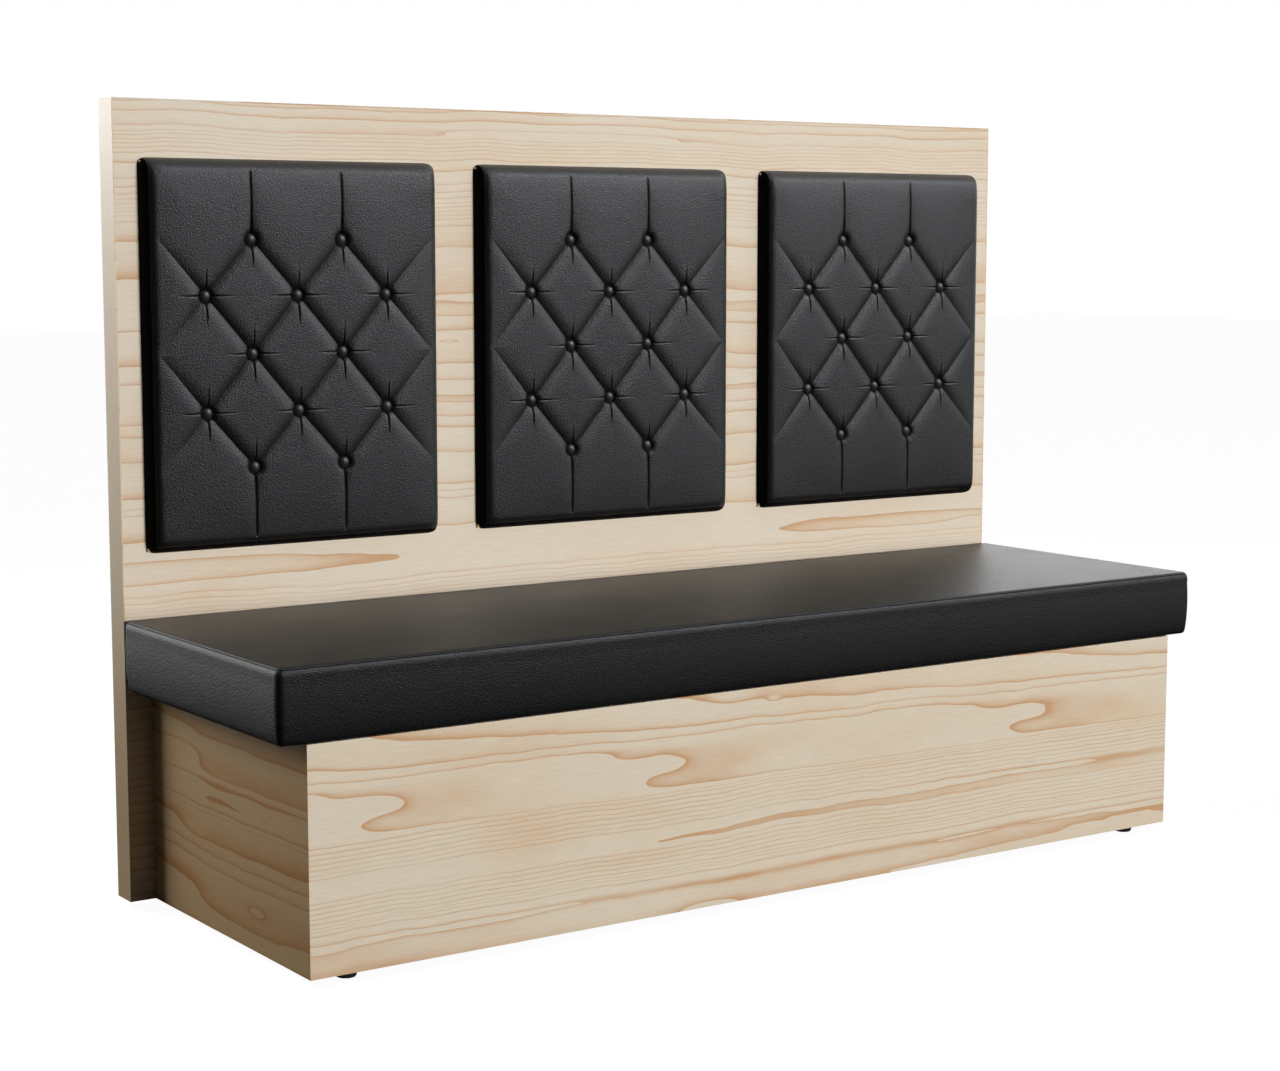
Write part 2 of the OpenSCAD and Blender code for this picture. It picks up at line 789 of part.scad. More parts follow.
panel_front_board();
panel_rear_board();
panel_top_rail();
panel_bottom_rail();
panel_seat_rail();
panel_end_stile(-1);  // panel_left_stile
panel_end_stile(1);  // panel_right_stile
panel_mid_stile(-1);  // panel_left_mid_stile
panel_mid_stile(1);  // panel_right_mid_stile
panel_pad_rails();
panel_side_band(-1);  // panel_left_band
panel_side_band(1);  // panel_right_band
panel_top_band();
in_bay(-1) pad_board();  // left_pad_board
in_bay(-1) pad_foam();  // left_pad_foam
in_bay(-1) pad_cover();  // left_pad_cover
in_bay(-1) pad_buttons();  // left_pad_buttons
in_bay(-1) pad_ties();  // left_pad_ties
in_bay(-1) pad_clips();  // left_pad_clips
in_bay(0) pad_board();  // middle_pad_board
in_bay(0) pad_foam();  // middle_pad_foam
in_bay(0) pad_cover();  // middle_pad_cover
in_bay(0) pad_buttons();  // middle_pad_buttons
in_bay(0) pad_ties();  // middle_pad_ties
in_bay(0) pad_clips();  // middle_pad_clips
in_bay(1) pad_board();  // right_pad_board
in_bay(1) pad_foam();  // right_pad_foam
in_bay(1) pad_cover();  // right_pad_cover
in_bay(1) pad_buttons();  // right_pad_buttons
in_bay(1) pad_ties();  // right_pad_ties
in_bay(1) pad_clips();  // right_pad_clips
plinth_front_board();
plinth_side_board(-1);  // plinth_left_board
plinth_side_board(1);  // plinth_right_board
plinth_rail(rail_z);  // plinth_upper_rail
plinth_rail(low_rail_z);  // plinth_lower_rail
plinth_partition(-1);  // plinth_left_partition
plinth_partition(1);  // plinth_right_partition
plinth_corner_posts();
plinth_seat_cleats();
front_foot_blocks();
seat_board();
seat_foam();
seat_cover();
seat_dust_cover();
panel_bolts();
panel_bolt_nuts();
seat_screws();
foot_inserts();
glide(0);  // front_left_glide
stud(0);  // front_left_stud
glide(1);  // front_right_glide
stud(1);  // front_right_stud
glide(2);  // rear_left_glide
stud(2);  // rear_left_stud
glide(3);  // rear_right_glide
stud(3);  // rear_right_stud
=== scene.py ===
# %% [markdown]
# # Upholstered banquette bench
# A pine-faced back panel with three button-tufted pads, a plinth box and one long leather seat cushion.
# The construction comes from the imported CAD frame. This script gives it its looks: leather that is drawn down
# over foam, a printed pine decor with its growth lines, and the fittings behind them.

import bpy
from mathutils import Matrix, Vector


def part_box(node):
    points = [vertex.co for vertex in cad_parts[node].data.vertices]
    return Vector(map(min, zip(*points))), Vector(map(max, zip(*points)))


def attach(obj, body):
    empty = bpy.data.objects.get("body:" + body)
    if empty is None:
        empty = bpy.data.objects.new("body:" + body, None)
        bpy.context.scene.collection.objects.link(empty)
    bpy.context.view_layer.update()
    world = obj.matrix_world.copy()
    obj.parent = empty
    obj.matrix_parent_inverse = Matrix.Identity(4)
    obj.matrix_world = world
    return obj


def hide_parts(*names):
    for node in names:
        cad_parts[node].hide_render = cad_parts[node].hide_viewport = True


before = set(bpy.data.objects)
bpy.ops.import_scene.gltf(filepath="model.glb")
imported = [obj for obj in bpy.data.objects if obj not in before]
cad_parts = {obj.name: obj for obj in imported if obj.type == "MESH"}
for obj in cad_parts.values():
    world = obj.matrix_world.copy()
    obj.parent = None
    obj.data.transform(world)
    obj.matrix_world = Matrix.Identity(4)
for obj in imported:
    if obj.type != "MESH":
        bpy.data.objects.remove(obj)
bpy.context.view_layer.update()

from math import radians

import bpy
import numpy as np

scene = bpy.context.scene
scene.view_settings.view_transform = "Standard"

# %% [markdown]
# ## Camera
# A long lens stands in front and to the left of the bench, a little above the pads' middle. Its place and its focal
# length were worked out from the straight edges of the panel and the plinth.

# %% Camera
camera_data = bpy.data.cameras.new("studio_camera")
camera_data.lens = 69.085
camera_data.sensor_width = 36.0
camera_data.sensor_fit = "HORIZONTAL"
camera = bpy.data.objects.new("studio_camera", camera_data)
camera.location = (-2.38775, -3.34593, 1.04699)
camera.rotation_euler = (radians(83.2785), 0.0, radians(-34.4992))
scene.collection.objects.link(camera)
scene.camera = camera

# %% [markdown]
# ## Building shader trees
# A material is a small network. The helpers below keep its wiring short: they add a node with its inputs, do
# arithmetic, scale a vector, make noise that is centred on nought, rise smoothly between two values, mix colours,
# start a material and bump its surface.

# %% Shader helpers
def add(tree, kind, inputs=None, **settings):
    """Adds a node. An input is either a number, or the socket that it is linked to."""
    node = tree.nodes.new(kind)
    for key, value in settings.items():
        setattr(node, key, value)
    for key, value in (inputs or {}).items():
        if isinstance(value, bpy.types.NodeSocket):
            tree.links.new(value, node.inputs[key])
        else:
            node.inputs[key].default_value = value
    return node


def calc(tree, operation, a, b=0.0, c=0.0, clamp=False):
    """One Math node on up to three values."""
    node = add(tree, "ShaderNodeMath", {0: a, 1: b, 2: c}, operation=operation)
    node.use_clamp = clamp
    return node.outputs[0]


def stretched(tree, vector, scale, offset=(0.0, 0.0, 0.0)):
    """The vector times a scale for each axis, plus an offset."""
    return add(
        tree, "ShaderNodeVectorMath", {0: vector, 1: scale, 2: offset}, operation="MULTIPLY_ADD"
    ).outputs[0]


def ripple(tree, vector, size=1.0, detail=2.0, rough=0.5):
    """Smooth noise from about -0.5 to 0.5."""
    noise = add(
        tree, "ShaderNodeTexNoise", {"Vector": vector, "Scale": size, "Detail": detail, "Roughness": rough}
    )
    return calc(tree, "SUBTRACT", noise.outputs["Fac"], 0.5)


def ramp(tree, value, start, end, low, high):
    """Rises smoothly from low at start to high at end."""
    return add(
        tree,
        "ShaderNodeMapRange",
        {"Value": value, "From Min": start, "From Max": end, "To Min": low, "To Max": high},
        interpolation_type="SMOOTHSTEP",
    ).outputs["Result"]


def mixed(tree, share, a, b, blend="MIX"):
    """Mixes two colours by a share."""
    node = add(tree, "ShaderNodeMix", data_type="RGBA", blend_type=blend)
    for key, value in (("Factor_Float", share), ("A_Color", a), ("B_Color", b)):
        socket = next(s for s in node.inputs if s.identifier == key)
        if isinstance(value, bpy.types.NodeSocket):
            tree.links.new(value, socket)
        else:
            socket.default_value = value
    return next(s for s in node.outputs if s.identifier == "Result_Color")


def new_material(name, roughness, specular=0.5):
    """An empty material with its Principled shader."""
    material = bpy.data.materials.new(name)
    material.use_nodes = True
    shader = material.node_tree.nodes["Principled BSDF"]
    shader.inputs["Roughness"].default_value = roughness
    shader.inputs["Specular IOR Level"].default_value = specular
    return material, material.node_tree, shader


def set_bump(tree, shader, height, distance, strength):
    """Bumps the shader's normal by a height between 0 and 1 over a distance in metres."""
    bump = add(tree, "ShaderNodeBump", {"Height": height, "Distance": distance, "Strength": strength})
    tree.links.new(bump.outputs["Normal"], shader.inputs["Normal"])


# %% [markdown]
# ## Pine decor
# A flat-sawn board shows the tree's growth rings cut at a slant. Each ring fades in on one side and stops sharply on
# the other, where winter came. The pattern is a ring count over the board: a curve gives the count up the board, a
# second curve lets it drift along the grain, and a few bumps are listed where the real board has a tongue, a hook
# or an eye. A line is drawn wherever the count passes a whole number, so lines never cross. Between the lines the
# board is paler or warmer in soft clouds, and fine fibre streaks run along it.

# %% Pine colours and curves
def srgb(r, g, b):
    """A screen colour from 0 to 255 as linear light."""
    c = np.array([r, g, b]) / 255.0
    linear = np.where(c <= 0.04045, c / 12.92, ((c + 0.055) / 1.055) ** 2.4)
    return (*[float(v) for v in linear], 1.0)


PINE_PALE = srgb(217, 204, 183)
PINE_HAZE = srgb(211, 184, 152)
PINE_LINE = srgb(197, 157, 118)

# place of each axis in (along the grain, across the grain, into the board)
GRAIN_AXES = {"x": (0, 2, 1), "y": (1, 2, 0), "z": (2, 1, 0)}


def curve(tree, value, points, unit=0.001):
    """A smooth curve through points (place in millimetres, height)."""
    node = add(tree, "ShaderNodeFloatCurve", {"Value": value})
    node.mapping.use_clip = False
    line = node.mapping.curves[0]
    ordered = sorted(points)
    for spot, (place, height) in zip(line.points, (ordered[0], ordered[-1])):
        spot.location = (place * unit, height)
    for place, height in ordered[1:-1]:
        line.points.new(place * unit, height)
    for spot in line.points:
        spot.handle_type = "AUTO_CLAMPED"
    node.mapping.update()
    return node.outputs[0]


# %% Pine material
def oval(tree, board, along, across, half_long, half_high):
    """exp(-r squared), with r the distance from a place on the board in half sizes, all in millimetres."""
    scale = (1000 / half_long, 1000 / half_high, 0.0)
    off = stretched(tree, board, scale, (-along / half_long, -across / half_high, 0.0))
    reach = add(tree, "ShaderNodeVectorMath", {0: off}, operation="LENGTH").outputs["Value"]
    return calc(tree, "POWER", INVERSE_E, calc(tree, "MULTIPLY", reach, reach))


INVERSE_E = 0.3679
LEAST_DRIFT = 0.15
# a size says how often a noise repeats in a metre: along the grain, across it and into the board
WAVE_SIZE, WAVE_SHIFT = (4.6, 3.4, 1.0), 0.020
WIGGLE_SIZE, WIGGLE_SHIFT = (19.0, 11.0, 3.0), 0.0048
RIPPLE_SIZE, RIPPLE_RISE = (7.0, 32.0, 1.0), 0.14
FADING_SIZE, CLOUD_SIZE, FIBRE_SIZE = (3.4, 14.0, 1.0), (2.4, 7.0, 1.0), (26.0, 430.0, 20.0)
LATE_POWER, EARLY_POWER = 11.0, 2.0


def pine(
    name, grain, profile, drift, drift_over=(0, 0), bumps=(), hazes=(), shift=(0, 0, 0), tint=(1, 1, 1),
    line=1.25, vein=0.26, rough=0.46, specular=0.35,
):
    """Printed pine. Ring count = profile(across + wander) + share * drift(along) + bumps + a little ripple, where
    the share of the drift rises from LEAST_DRIFT to 1 over the heights in drift_over. A bump or a haze (along,
    across, half length, half height, amount), in millimetres, adds amount * exp(-r squared), with r the distance in
    half sizes: a bump to the ring count, a haze to the warmth between the lines.

    The late wood of a ring shows as (1 - phase) to the power LATE_POWER, its early wood as the same to the power
    EARLY_POWER. The line is the strength of the late wood's tone, the vein that of the fibre streaks, the tint
    multiplies the print's red, green and blue, and the shift, in metres, picks another part of the print."""
    material, tree, shader = new_material(name, rough, specular)
    place = add(tree, "ShaderNodeTexCoord").outputs["Object"]
    xyz = add(tree, "ShaderNodeSeparateXYZ", {0: place}).outputs
    board = add(tree, "ShaderNodeCombineXYZ", {k: xyz[a] for k, a in enumerate(GRAIN_AXES[grain])}).outputs[0]
    board = stretched(tree, board, (1.0, 1.0, 1.0), shift)
    along, across, _ = add(tree, "ShaderNodeSeparateXYZ", {0: board}).outputs

    wave = ripple(tree, stretched(tree, board, WAVE_SIZE), detail=1.0)
    wiggle = ripple(tree, stretched(tree, board, WIGGLE_SIZE), detail=1.5)
    bent = calc(tree, "MULTIPLY_ADD", wave, WAVE_SHIFT, across)
    bent = calc(tree, "MULTIPLY_ADD", wiggle, WIGGLE_SHIFT, bent)
    share = ramp(tree, across, drift_over[0], drift_over[1] + 0.001, LEAST_DRIFT, 1.0)
    count = curve(tree, bent, profile)
    count = calc(tree, "MULTIPLY_ADD", curve(tree, along, drift), share, count)
    for *spot, rise in bumps:
        count = calc(tree, "MULTIPLY_ADD", oval(tree, board, *spot), rise, count)
    small = ripple(tree, stretched(tree, board, RIPPLE_SIZE), detail=2.0)
    count = calc(tree, "MULTIPLY_ADD", small, RIPPLE_RISE, count)
    number = calc(tree, "FLOOR", count)
    phase = calc(tree, "SUBTRACT", count, number)

    luck = add(tree, "ShaderNodeTexWhiteNoise", {"W": number}, noise_dimensions="1D").outputs["Value"]
    fading = ripple(tree, stretched(tree, board, FADING_SIZE, (1.0, 5.0, 0.0)), detail=2.0)
    strength = calc(tree, "MULTIPLY_ADD", luck, 0.45, 0.62)
    strength = calc(tree, "MULTIPLY", strength, calc(tree, "MULTIPLY_ADD", fading, 1.5, 0.95), clamp=True)
    late = calc(tree, "POWER", calc(tree, "SUBTRACT", 1.0, phase), LATE_POWER)
    early = calc(tree, "POWER", calc(tree, "SUBTRACT", 1.0, phase), EARLY_POWER)

    cloud = ripple(tree, stretched(tree, board, CLOUD_SIZE, (3.0, 1.0, 2.0)), detail=3.0, rough=0.6)
    warm = calc(tree, "MULTIPLY_ADD", cloud, 2.0, calc(tree, "MULTIPLY_ADD", early, 0.55, 0.05), clamp=True)
    warm = calc(tree, "MULTIPLY", warm, strength)
    for *spot, warmth in hazes:
        warm = calc(tree, "MULTIPLY_ADD", oval(tree, board, *spot), warmth, warm)
    colour = mixed(tree, warm, PINE_PALE, PINE_HAZE)
    dark = calc(tree, "MULTIPLY", calc(tree, "MULTIPLY", late, strength), line)
    colour = mixed(tree, dark, colour, PINE_LINE)
    fibre = ripple(tree, stretched(tree, board, FIBRE_SIZE), detail=3.0, rough=0.6)
    streak = calc(tree, "MULTIPLY_ADD", fibre, vein, 1.0)
    tints = {k: calc(tree, "MULTIPLY", streak, part) for k, part in enumerate(tint)}
    colour = mixed(tree, 1.0, colour, add(tree, "ShaderNodeCombineXYZ", tints).outputs[0], "MULTIPLY")
    tree.links.new(colour, shader.inputs["Base Color"])
    tree.links.new(calc(tree, "MULTIPLY_ADD", fibre, 0.12, rough), shader.inputs["Roughness"])
    set_bump(tree, shader, fibre, 0.0004, 0.25)
    return material


# %% [markdown]
# Each board has its own print. Close rings lie where the count climbs fast, and a calm pale field with tongues lies
# where it hardly climbs, so there the drift along the grain decides where a ring ends.

# %% Prints of the plinth
FRONT_PROFILE = [
    # height in millimetres, ring count
    (353, 7.0), (333, 6.75), (307, 6.0), (292, 5.0), (274, 4.1), (263, 4.02), (241, 4.0), (218, 3.96), (209, 3.6),
    (203, 3.0), (195, 2.0), (180, 0.0), (165, -2.0), (158, -3.0), (150, -3.33), (143, -3.29), (136, -3.15),
    (131, -3.18), (127, -3.5), (120, -4.4), (92, -8.2), (63, -11.9), (55, -12.12), (51, -12.0), (45, -11.86),
    (35, -11.84), (25, -11.90), (20, -11.93), (13, -11.96),
]
FRONT_DRIFT = [(-857, -0.30), (-742, 0.0), (-490, 0.45), (-242, 1.0), (155, 1.5), (518, 2.0), (857, 2.45)]
TONGUES = (-742, -242, 518)
FRONT_HAZES = [
    (-615, 250, 50, 22, 0.5), (-505, 165, 75, 40, 0.5), (-110, 250, 45, 20, 0.55), (715, 250, 60, 18, 0.5),
    (700, 140, 60, 14, 0.5), (-300, 110, 120, 10, 0.4),
]
FRONT_BUMPS = [
    (-110, 347, 42, 13, 0.32), (-157, 15, 80, 15, -0.25), (870, 38, 620, 24, -0.52), (800, 13, 700, 14, -0.45),
    (790, 32, 9, 4, -0.5), (-32, 333, 10, 4, 0.4),
]
for tip in TONGUES:
    FRONT_BUMPS += [(tip + 5, 251, 42, 13, -0.16), (tip + 10, 226, 60, 12, 0.15), (tip - 75, 272, 45, 9, 0.12)]
plinth_pine = pine(
    "plinth_pine", "x", FRONT_PROFILE, FRONT_DRIFT, (0.195, 0.215), FRONT_BUMPS, FRONT_HAZES, line=1.7
)

SIDE_PROFILE = [
    (353, 5.5), (325, 5.2), (308, 5.0), (290, 4.3), (272, 4.08), (253, 4.0), (247, 3.5), (240, 3.0), (225, 2.93),
    (214, 2.97), (206, 2.3), (200, 2.0), (192, 1.0), (185, 0.35), (165, 0.12), (152, 0.0), (142, -0.6), (132, -1.0),
    (122, -1.6), (112, -2.0), (95, -2.75), (74, -2.88), (55, -2.95), (30, -3.3), (13, -4.0),
]
SIDE_DRIFT = [(-245, 0.0), (0, 0.05), (120, -0.12), (245, -0.2)]
SIDE_BUMPS = [(-125, 74, 30, 8.5, -0.3), (150, 277, 60, 13, -0.35), (90, 160, 40, 14, 0.3), (205, 224, 20, 5, -0.2)]
# the side boards' warmer, darker tint is painted shade: it bakes in the brown the bench's end takes in shadow
shaded_side_pine = pine(
    "shaded_side_pine", "y", SIDE_PROFILE, SIDE_DRIFT, bumps=SIDE_BUMPS, tint=(1.06, 0.85, 0.57), line=1.9, vein=0.3
)

# %% Prints of the back panel
PANEL_PROFILE = [
    (1273, 14.3), (1267, 14.0), (1252, 13.0), (1243, 12.6), (1229, 12.0), (1223, 11.2), (1216, 10.0), (1209, 9.0),
    (1203, 8.0), (1196, 7.0), (1189, 6.0), (1173, 5.0), (1161, 4.6), (1151, 4.0), (1138, 3.0), (1128, 2.0),
    (1113, 0.0), (1100, -2.0), (1083, -4.0), (1068, -4.7), (1051, -5.0), (1028, -5.5), (1005, -5.85), (973, -6.0),
    (961, -6.14), (951, -6.0), (943, -5.9), (933, -6.1), (913, -7.0), (888, -7.5), (857, -8.0), (829, -9.0),
    (813, -9.2), (799, -8.98), (793, -8.93), (786, -9.3), (767, -10.0), (749, -11.0), (709, -12.0), (683, -12.5),
    (652, -13.0), (639, -14.0), (627, -15.0), (608, -15.6), (583, -15.9), (559, -16.3), (535, -16.16),
    (516, -16.34), (497, -17.0), (487, -18.0), (480, -19.0), (473, -20.0), (440, -24.0), (300, -31.0),
    (150, -42.0), (0, -50.0),
]
PANEL_DRIFT = [(-900, -0.12), (-300, 0.1), (100, -0.05), (500, 0.12), (900, 0.0)]
PANEL_BUMPS = [
    (-900, 536, 310, 21, 0.9), (800, 520, 330, 13, 0.6), (870, 515, 55, 7, -0.5), (-100, 1236, 300, 6, -0.6),
    (-310, 888, 24, 4, 0.6), (-255, 1025, 12, 3, 0.6), (-800, 600, 20, 4, 0.5), (-262, 602, 22, 3, 0.5),
]
# the front board's paler, cooler tint is painted light: it makes the panel brighter than the plinth, as if more light
# fell on it from above
lit_panel_pine = pine("lit_panel_pine", "x", PANEL_PROFILE, PANEL_DRIFT, bumps=PANEL_BUMPS, tint=(1.13, 1.14, 1.17))
rear_pine = pine("rear_pine", "x", PANEL_PROFILE, PANEL_DRIFT, shift=(2.7, 0.0, 0.6))

BAND_PROFILE = [(-260, -90.0), (0, 0.0), (260, 90.0), (300, 104.0)]
BAND_DRIFT = [(0, 0.0), (600, 0.8), (1300, 0.0)]
band_pine = pine(
    "band_pine", "z", BAND_PROFILE, BAND_DRIFT, tint=(1.08, 0.97, 0.77), line=0.9, vein=0.4, rough=0.36, specular=0.70
)
top_band_pine = pine("top_band_pine", "x", [(0, 0.0), (1273, 8.0), (1400, 9.0)], PANEL_DRIFT)
print("pine materials:", [m.name for m in bpy.data.materials if "pine" in m.name])


# %% [markdown]
# ## Black leather
# Bench leather is pigmented and embossed: a fine pebble of flat cells, with creases between them that catch the
# light. It is nearly black, and what shows its shape is the soft sheen, so the roughness and the grain matter most.

# %% Leather materials
def leather(name, colour, roughness, grain=500.0, relief=0.0012, specular=0.5):
    """Leather: cells of a Voronoi pattern for the pebble, and noise for the finer creases and the worn patches."""
    material, tree, shader = new_material(name, roughness, specular)
    place = add(tree, "ShaderNodeTexCoord").outputs["Object"]
    warp = add(tree, "ShaderNodeTexNoise", {"Vector": place, "Scale": grain * 0.6, "Detail": 2.0})
    bent = add(
        tree,
        "ShaderNodeVectorMath",
        {0: warp.outputs["Color"], 1: (0.0016, 0.0016, 0.0016), 2: place},
        operation="MULTIPLY_ADD",
    ).outputs[0]
    cells = add(tree, "ShaderNodeTexVoronoi", {"Vector": bent, "Scale": grain}, feature="SMOOTH_F1")
    creases = ripple(tree, place, grain * 1.7, detail=3.0, rough=0.6)
    height = calc(tree, "MULTIPLY_ADD", creases, 0.6, 0.9)
    height = calc(tree, "MULTIPLY_ADD", cells.outputs["Distance"], -0.7, height)
    worn = ripple(tree, place, 9.0, detail=3.0)
    tone = calc(tree, "MULTIPLY_ADD", worn, 0.35, 1.0)
    tones = add(tree, "ShaderNodeCombineXYZ", {0: tone, 1: tone, 2: tone}).outputs[0]
    tree.links.new(mixed(tree, 1.0, colour, tones, "MULTIPLY"), shader.inputs["Base Color"])
    rough = calc(tree, "MULTIPLY_ADD", worn, 0.08, roughness)
    rough = calc(tree, "MULTIPLY_ADD", creases, 0.10, rough)
    tree.links.new(rough, shader.inputs["Roughness"])
    shader.inputs["Specular Tint"].default_value = (0.965, 0.99, 1.03, 1.0)
    set_bump(tree, shader, height, relief, 0.8)
    return material


pad_leather = leather("pad_leather", (0.0022, 0.0023, 0.0026, 1.0), 0.42, specular=0.46)
# a darker leather with almost no sheen, for the pads' outer strips: painted shade in the joint against the panel
shade_strip_leather = leather("pad_shade_strip_leather", (0.0008, 0.0008, 0.0009, 1.0), 0.65, specular=0.03)
seat_leather = leather("seat_leather", (0.0024, 0.0025, 0.0029, 1.0), 0.40, specular=0.30)
# the buttons' leather is a lighter copy of the black leather: painted light for the brighter sheen the balls catch
lit_button_leather = leather("lit_button_leather", (0.0125, 0.0128, 0.0134, 1.0), 0.44, grain=700.0, relief=0.0002)

# %% [markdown]
# ## Hidden timber, steel, plastic and cloth
# The inside is seen only where the bench is taken apart, but it is finished too: planed spruce with its grain,
# zinc-plated steel, moulded plastic and a thin non-woven dust cloth.

# %% Inner materials
def timber(name, grain, pale, dark):
    """Planed softwood: long noise along the grain between two colours."""
    material, tree, shader = new_material(name, 0.6, 0.3)
    place = add(tree, "ShaderNodeTexCoord").outputs["Object"]
    xyz = add(tree, "ShaderNodeSeparateXYZ", {0: place}).outputs
    board = add(tree, "ShaderNodeCombineXYZ", {k: xyz[a] for k, a in enumerate(GRAIN_AXES[grain])}).outputs[0]
    rings = ripple(tree, stretched(tree, board, (2.5, 70.0, 70.0)), detail=3.0)
    fibre = ripple(tree, stretched(tree, board, (20.0, 500.0, 500.0)), detail=2.0)
    share = calc(tree, "MULTIPLY_ADD", rings, 1.8, 0.5, clamp=True)
    share = calc(tree, "MULTIPLY_ADD", fibre, 0.5, share, clamp=True)
    tree.links.new(mixed(tree, share, pale, dark), shader.inputs["Base Color"])
    set_bump(tree, shader, fibre, 0.0004, 0.4)
    return material


def speckled(name, colour, other, roughness, size, relief, metallic=0.0):
    """A plain stuff with fine specks: plastic, plated steel, foam or cloth."""
    material, tree, shader = new_material(name, roughness)
    shader.inputs["Metallic"].default_value = metallic
    place = add(tree, "ShaderNodeTexCoord").outputs["Object"]
    specks = ripple(tree, place, size, detail=3.0, rough=0.6)
    share = calc(tree, "MULTIPLY_ADD", specks, 1.6, 0.5, clamp=True)
    tree.links.new(mixed(tree, share, colour, other), shader.inputs["Base Color"])
    tree.links.new(calc(tree, "MULTIPLY_ADD", specks, 0.15, roughness), shader.inputs["Roughness"])
    set_bump(tree, shader, specks, relief, 0.5)
    return material


def grey(level):
    """A neutral colour."""
    return (level, level, level, 1)


spruce_x = timber("spruce_along_x", "x", srgb(226, 203, 160), srgb(196, 160, 112))
spruce_y = timber("spruce_along_y", "y", srgb(226, 203, 160), srgb(196, 160, 112))
spruce_z = timber("spruce_along_z", "z", srgb(226, 203, 160), srgb(196, 160, 112))
plywood = timber("birch_plywood", "x", srgb(222, 201, 166), srgb(203, 176, 134))
moulded_plastic = speckled("moulded_plastic", grey(0.012), grey(0.022), 0.42, 900.0, 0.00008)
zinc_steel = speckled("zinc_steel", (0.58, 0.59, 0.60, 1), (0.70, 0.71, 0.72, 1), 0.30, 300.0, 0.00003, metallic=1.0)
waxed_twine = speckled("waxed_twine", grey(0.02), grey(0.05), 0.7, 1500.0, 0.0003)
dust_cloth = speckled("dust_cloth", (0.010, 0.010, 0.011, 1), (0.035, 0.035, 0.037, 1), 0.85, 700.0, 0.0004)

# %% [markdown]
# ## Dressing the CAD nodes
# The rigid pieces keep their CAD shapes, so each one only needs its finish. The grain of a timber runs along its
# longer side.

# %% Finishes of the CAD nodes
FINISHES = {
    "panel_front_board": lit_panel_pine,
    "panel_rear_board": rear_pine,
    "panel_left_band": band_pine,
    "panel_right_band": band_pine,
    "panel_top_band": top_band_pine,
    "plinth_front_board": plinth_pine,
    "plinth_left_board": shaded_side_pine,
    "plinth_right_board": shaded_side_pine,
    "seat_board": plywood,
    "seat_dust_cover": dust_cloth,
}
ALONG_Z = ("stile", "posts")
ALONG_Y = ("partition",)
BY_WORD = {"clips": moulded_plastic, "glide": moulded_plastic, "ties": waxed_twine, "pad_board": plywood}
STEEL = ("bolt", "screws", "insert", "stud")


def finish_of(name):
    """The finish of a CAD node by its name."""
    if name in FINISHES:
        return FINISHES[name]
    for word, material in BY_WORD.items():
        if word in name:
            return material
    if any(word in name for word in STEEL):
        return zinc_steel
    if any(word in name for word in ALONG_Z):
        return spruce_z
    if any(word in name for word in ALONG_Y):
        return spruce_y
    return spruce_x


for name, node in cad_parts.items():
    node.data.materials.clear()
    node.data.materials.append(finish_of(name))
print("dressed", len(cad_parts), "CAD nodes")


# %% [markdown]
# ## Meshes from arrays
# Every new piece is a surface worked out as arrays of points and faces. The helper below puts them into a mesh and
# gives it its finish, its body and the CAD nodes that it stands for.

# %% Piece helper
def piece(name, points, faces, material, body, replaced):
    """A smooth-shaded mesh from an array of points and a list of face arrays, riding on a body."""
    mesh = bpy.data.meshes.new(name)
    mesh.from_pydata(points.tolist(), [], [f for group in faces for f in group.tolist()])
    mesh.polygons.foreach_set("use_smooth", np.ones(len(mesh.polygons), bool))
    mesh.materials.append(material)
    mesh.validate()
    mesh.update()
    thing = bpy.data.objects.new(name, mesh)
    scene.collection.objects.link(thing)
    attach(thing, body)
    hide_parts(*replaced)
    print(name, len(mesh.vertices), "points", len(mesh.polygons), "faces")
    return thing


# %% [markdown]
# ## The tufted pad
# A pad is a sheet of leather over foam. Twelve buttons pull it down, and between neighbouring buttons the leather
# folds into a crease. Short pleats run out from each button, where the spare leather gathers. The surface is a
# height over a grid whose lines follow the buttons' pitch, so that each crease runs exactly along a row of points.

# %% Pad layout, in metres from the pad's middle
PAD_LOW, PAD_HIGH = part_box("left_pad_cover")
OUTLINE_IN = 0.0025
HALF_W = (PAD_HIGH.x - PAD_LOW.x) / 2 - OUTLINE_IN
HALF_H = (PAD_HIGH.z - PAD_LOW.z) / 2
# height over the panel inside the rounded edge, and how much more there is in the middle
PAD_T, CROWN = 0.0335, 0.0035
EDGE_R, EDGE_POWER = 0.022, 2.1
ROUNDING, CORNER_POWER = 0.050, 9.0
DROP_TOP, DROP_SIDE, DROP_LOW = 0.0062, 0.0034, 0.0028
SHOULDER_X, SHOULDER_Z = HALF_W - EDGE_R, HALF_H - EDGE_R
PITCH_X, PITCH_Z = 0.080, 0.090
# height of the leather under a button, and the radius within which the button pulls it down
BUTTON_SEAT, BUTTON_PULL, PULL_POWER = 0.0110, 0.0080, 4.4
# one quarter of the lattice, in pitches from the pad's middle; the other three are its mirror images
BUTTONS = [(1, 0), (0, 1), (2, 1), (1, 2)]
CREASES = [
    # from, to, then the share of the depth at the start and at the end
    ((1, 0), (0, 1), 1.0, 1.0),
    ((1, 0), (2, 1), 1.0, 1.0),
    ((0, 1), (1, 2), 1.0, 1.0),
    ((2, 1), (1, 2), 1.0, 1.0),
    ((2, 1), (3.0, 2.0), 1.0, 0.15),
    ((2, 1), (3.0, 0.0), 1.0, 0.20),
    ((1, 2), (1, 2.6), 1.0, 0.22),
    ((1, 2.6), (1, 3.2), 0.22, 0.16),
]
PLEAT_UP, PLEAT_DOWN, PLEAT_ASIDE = 0.050, 0.048, 0.050


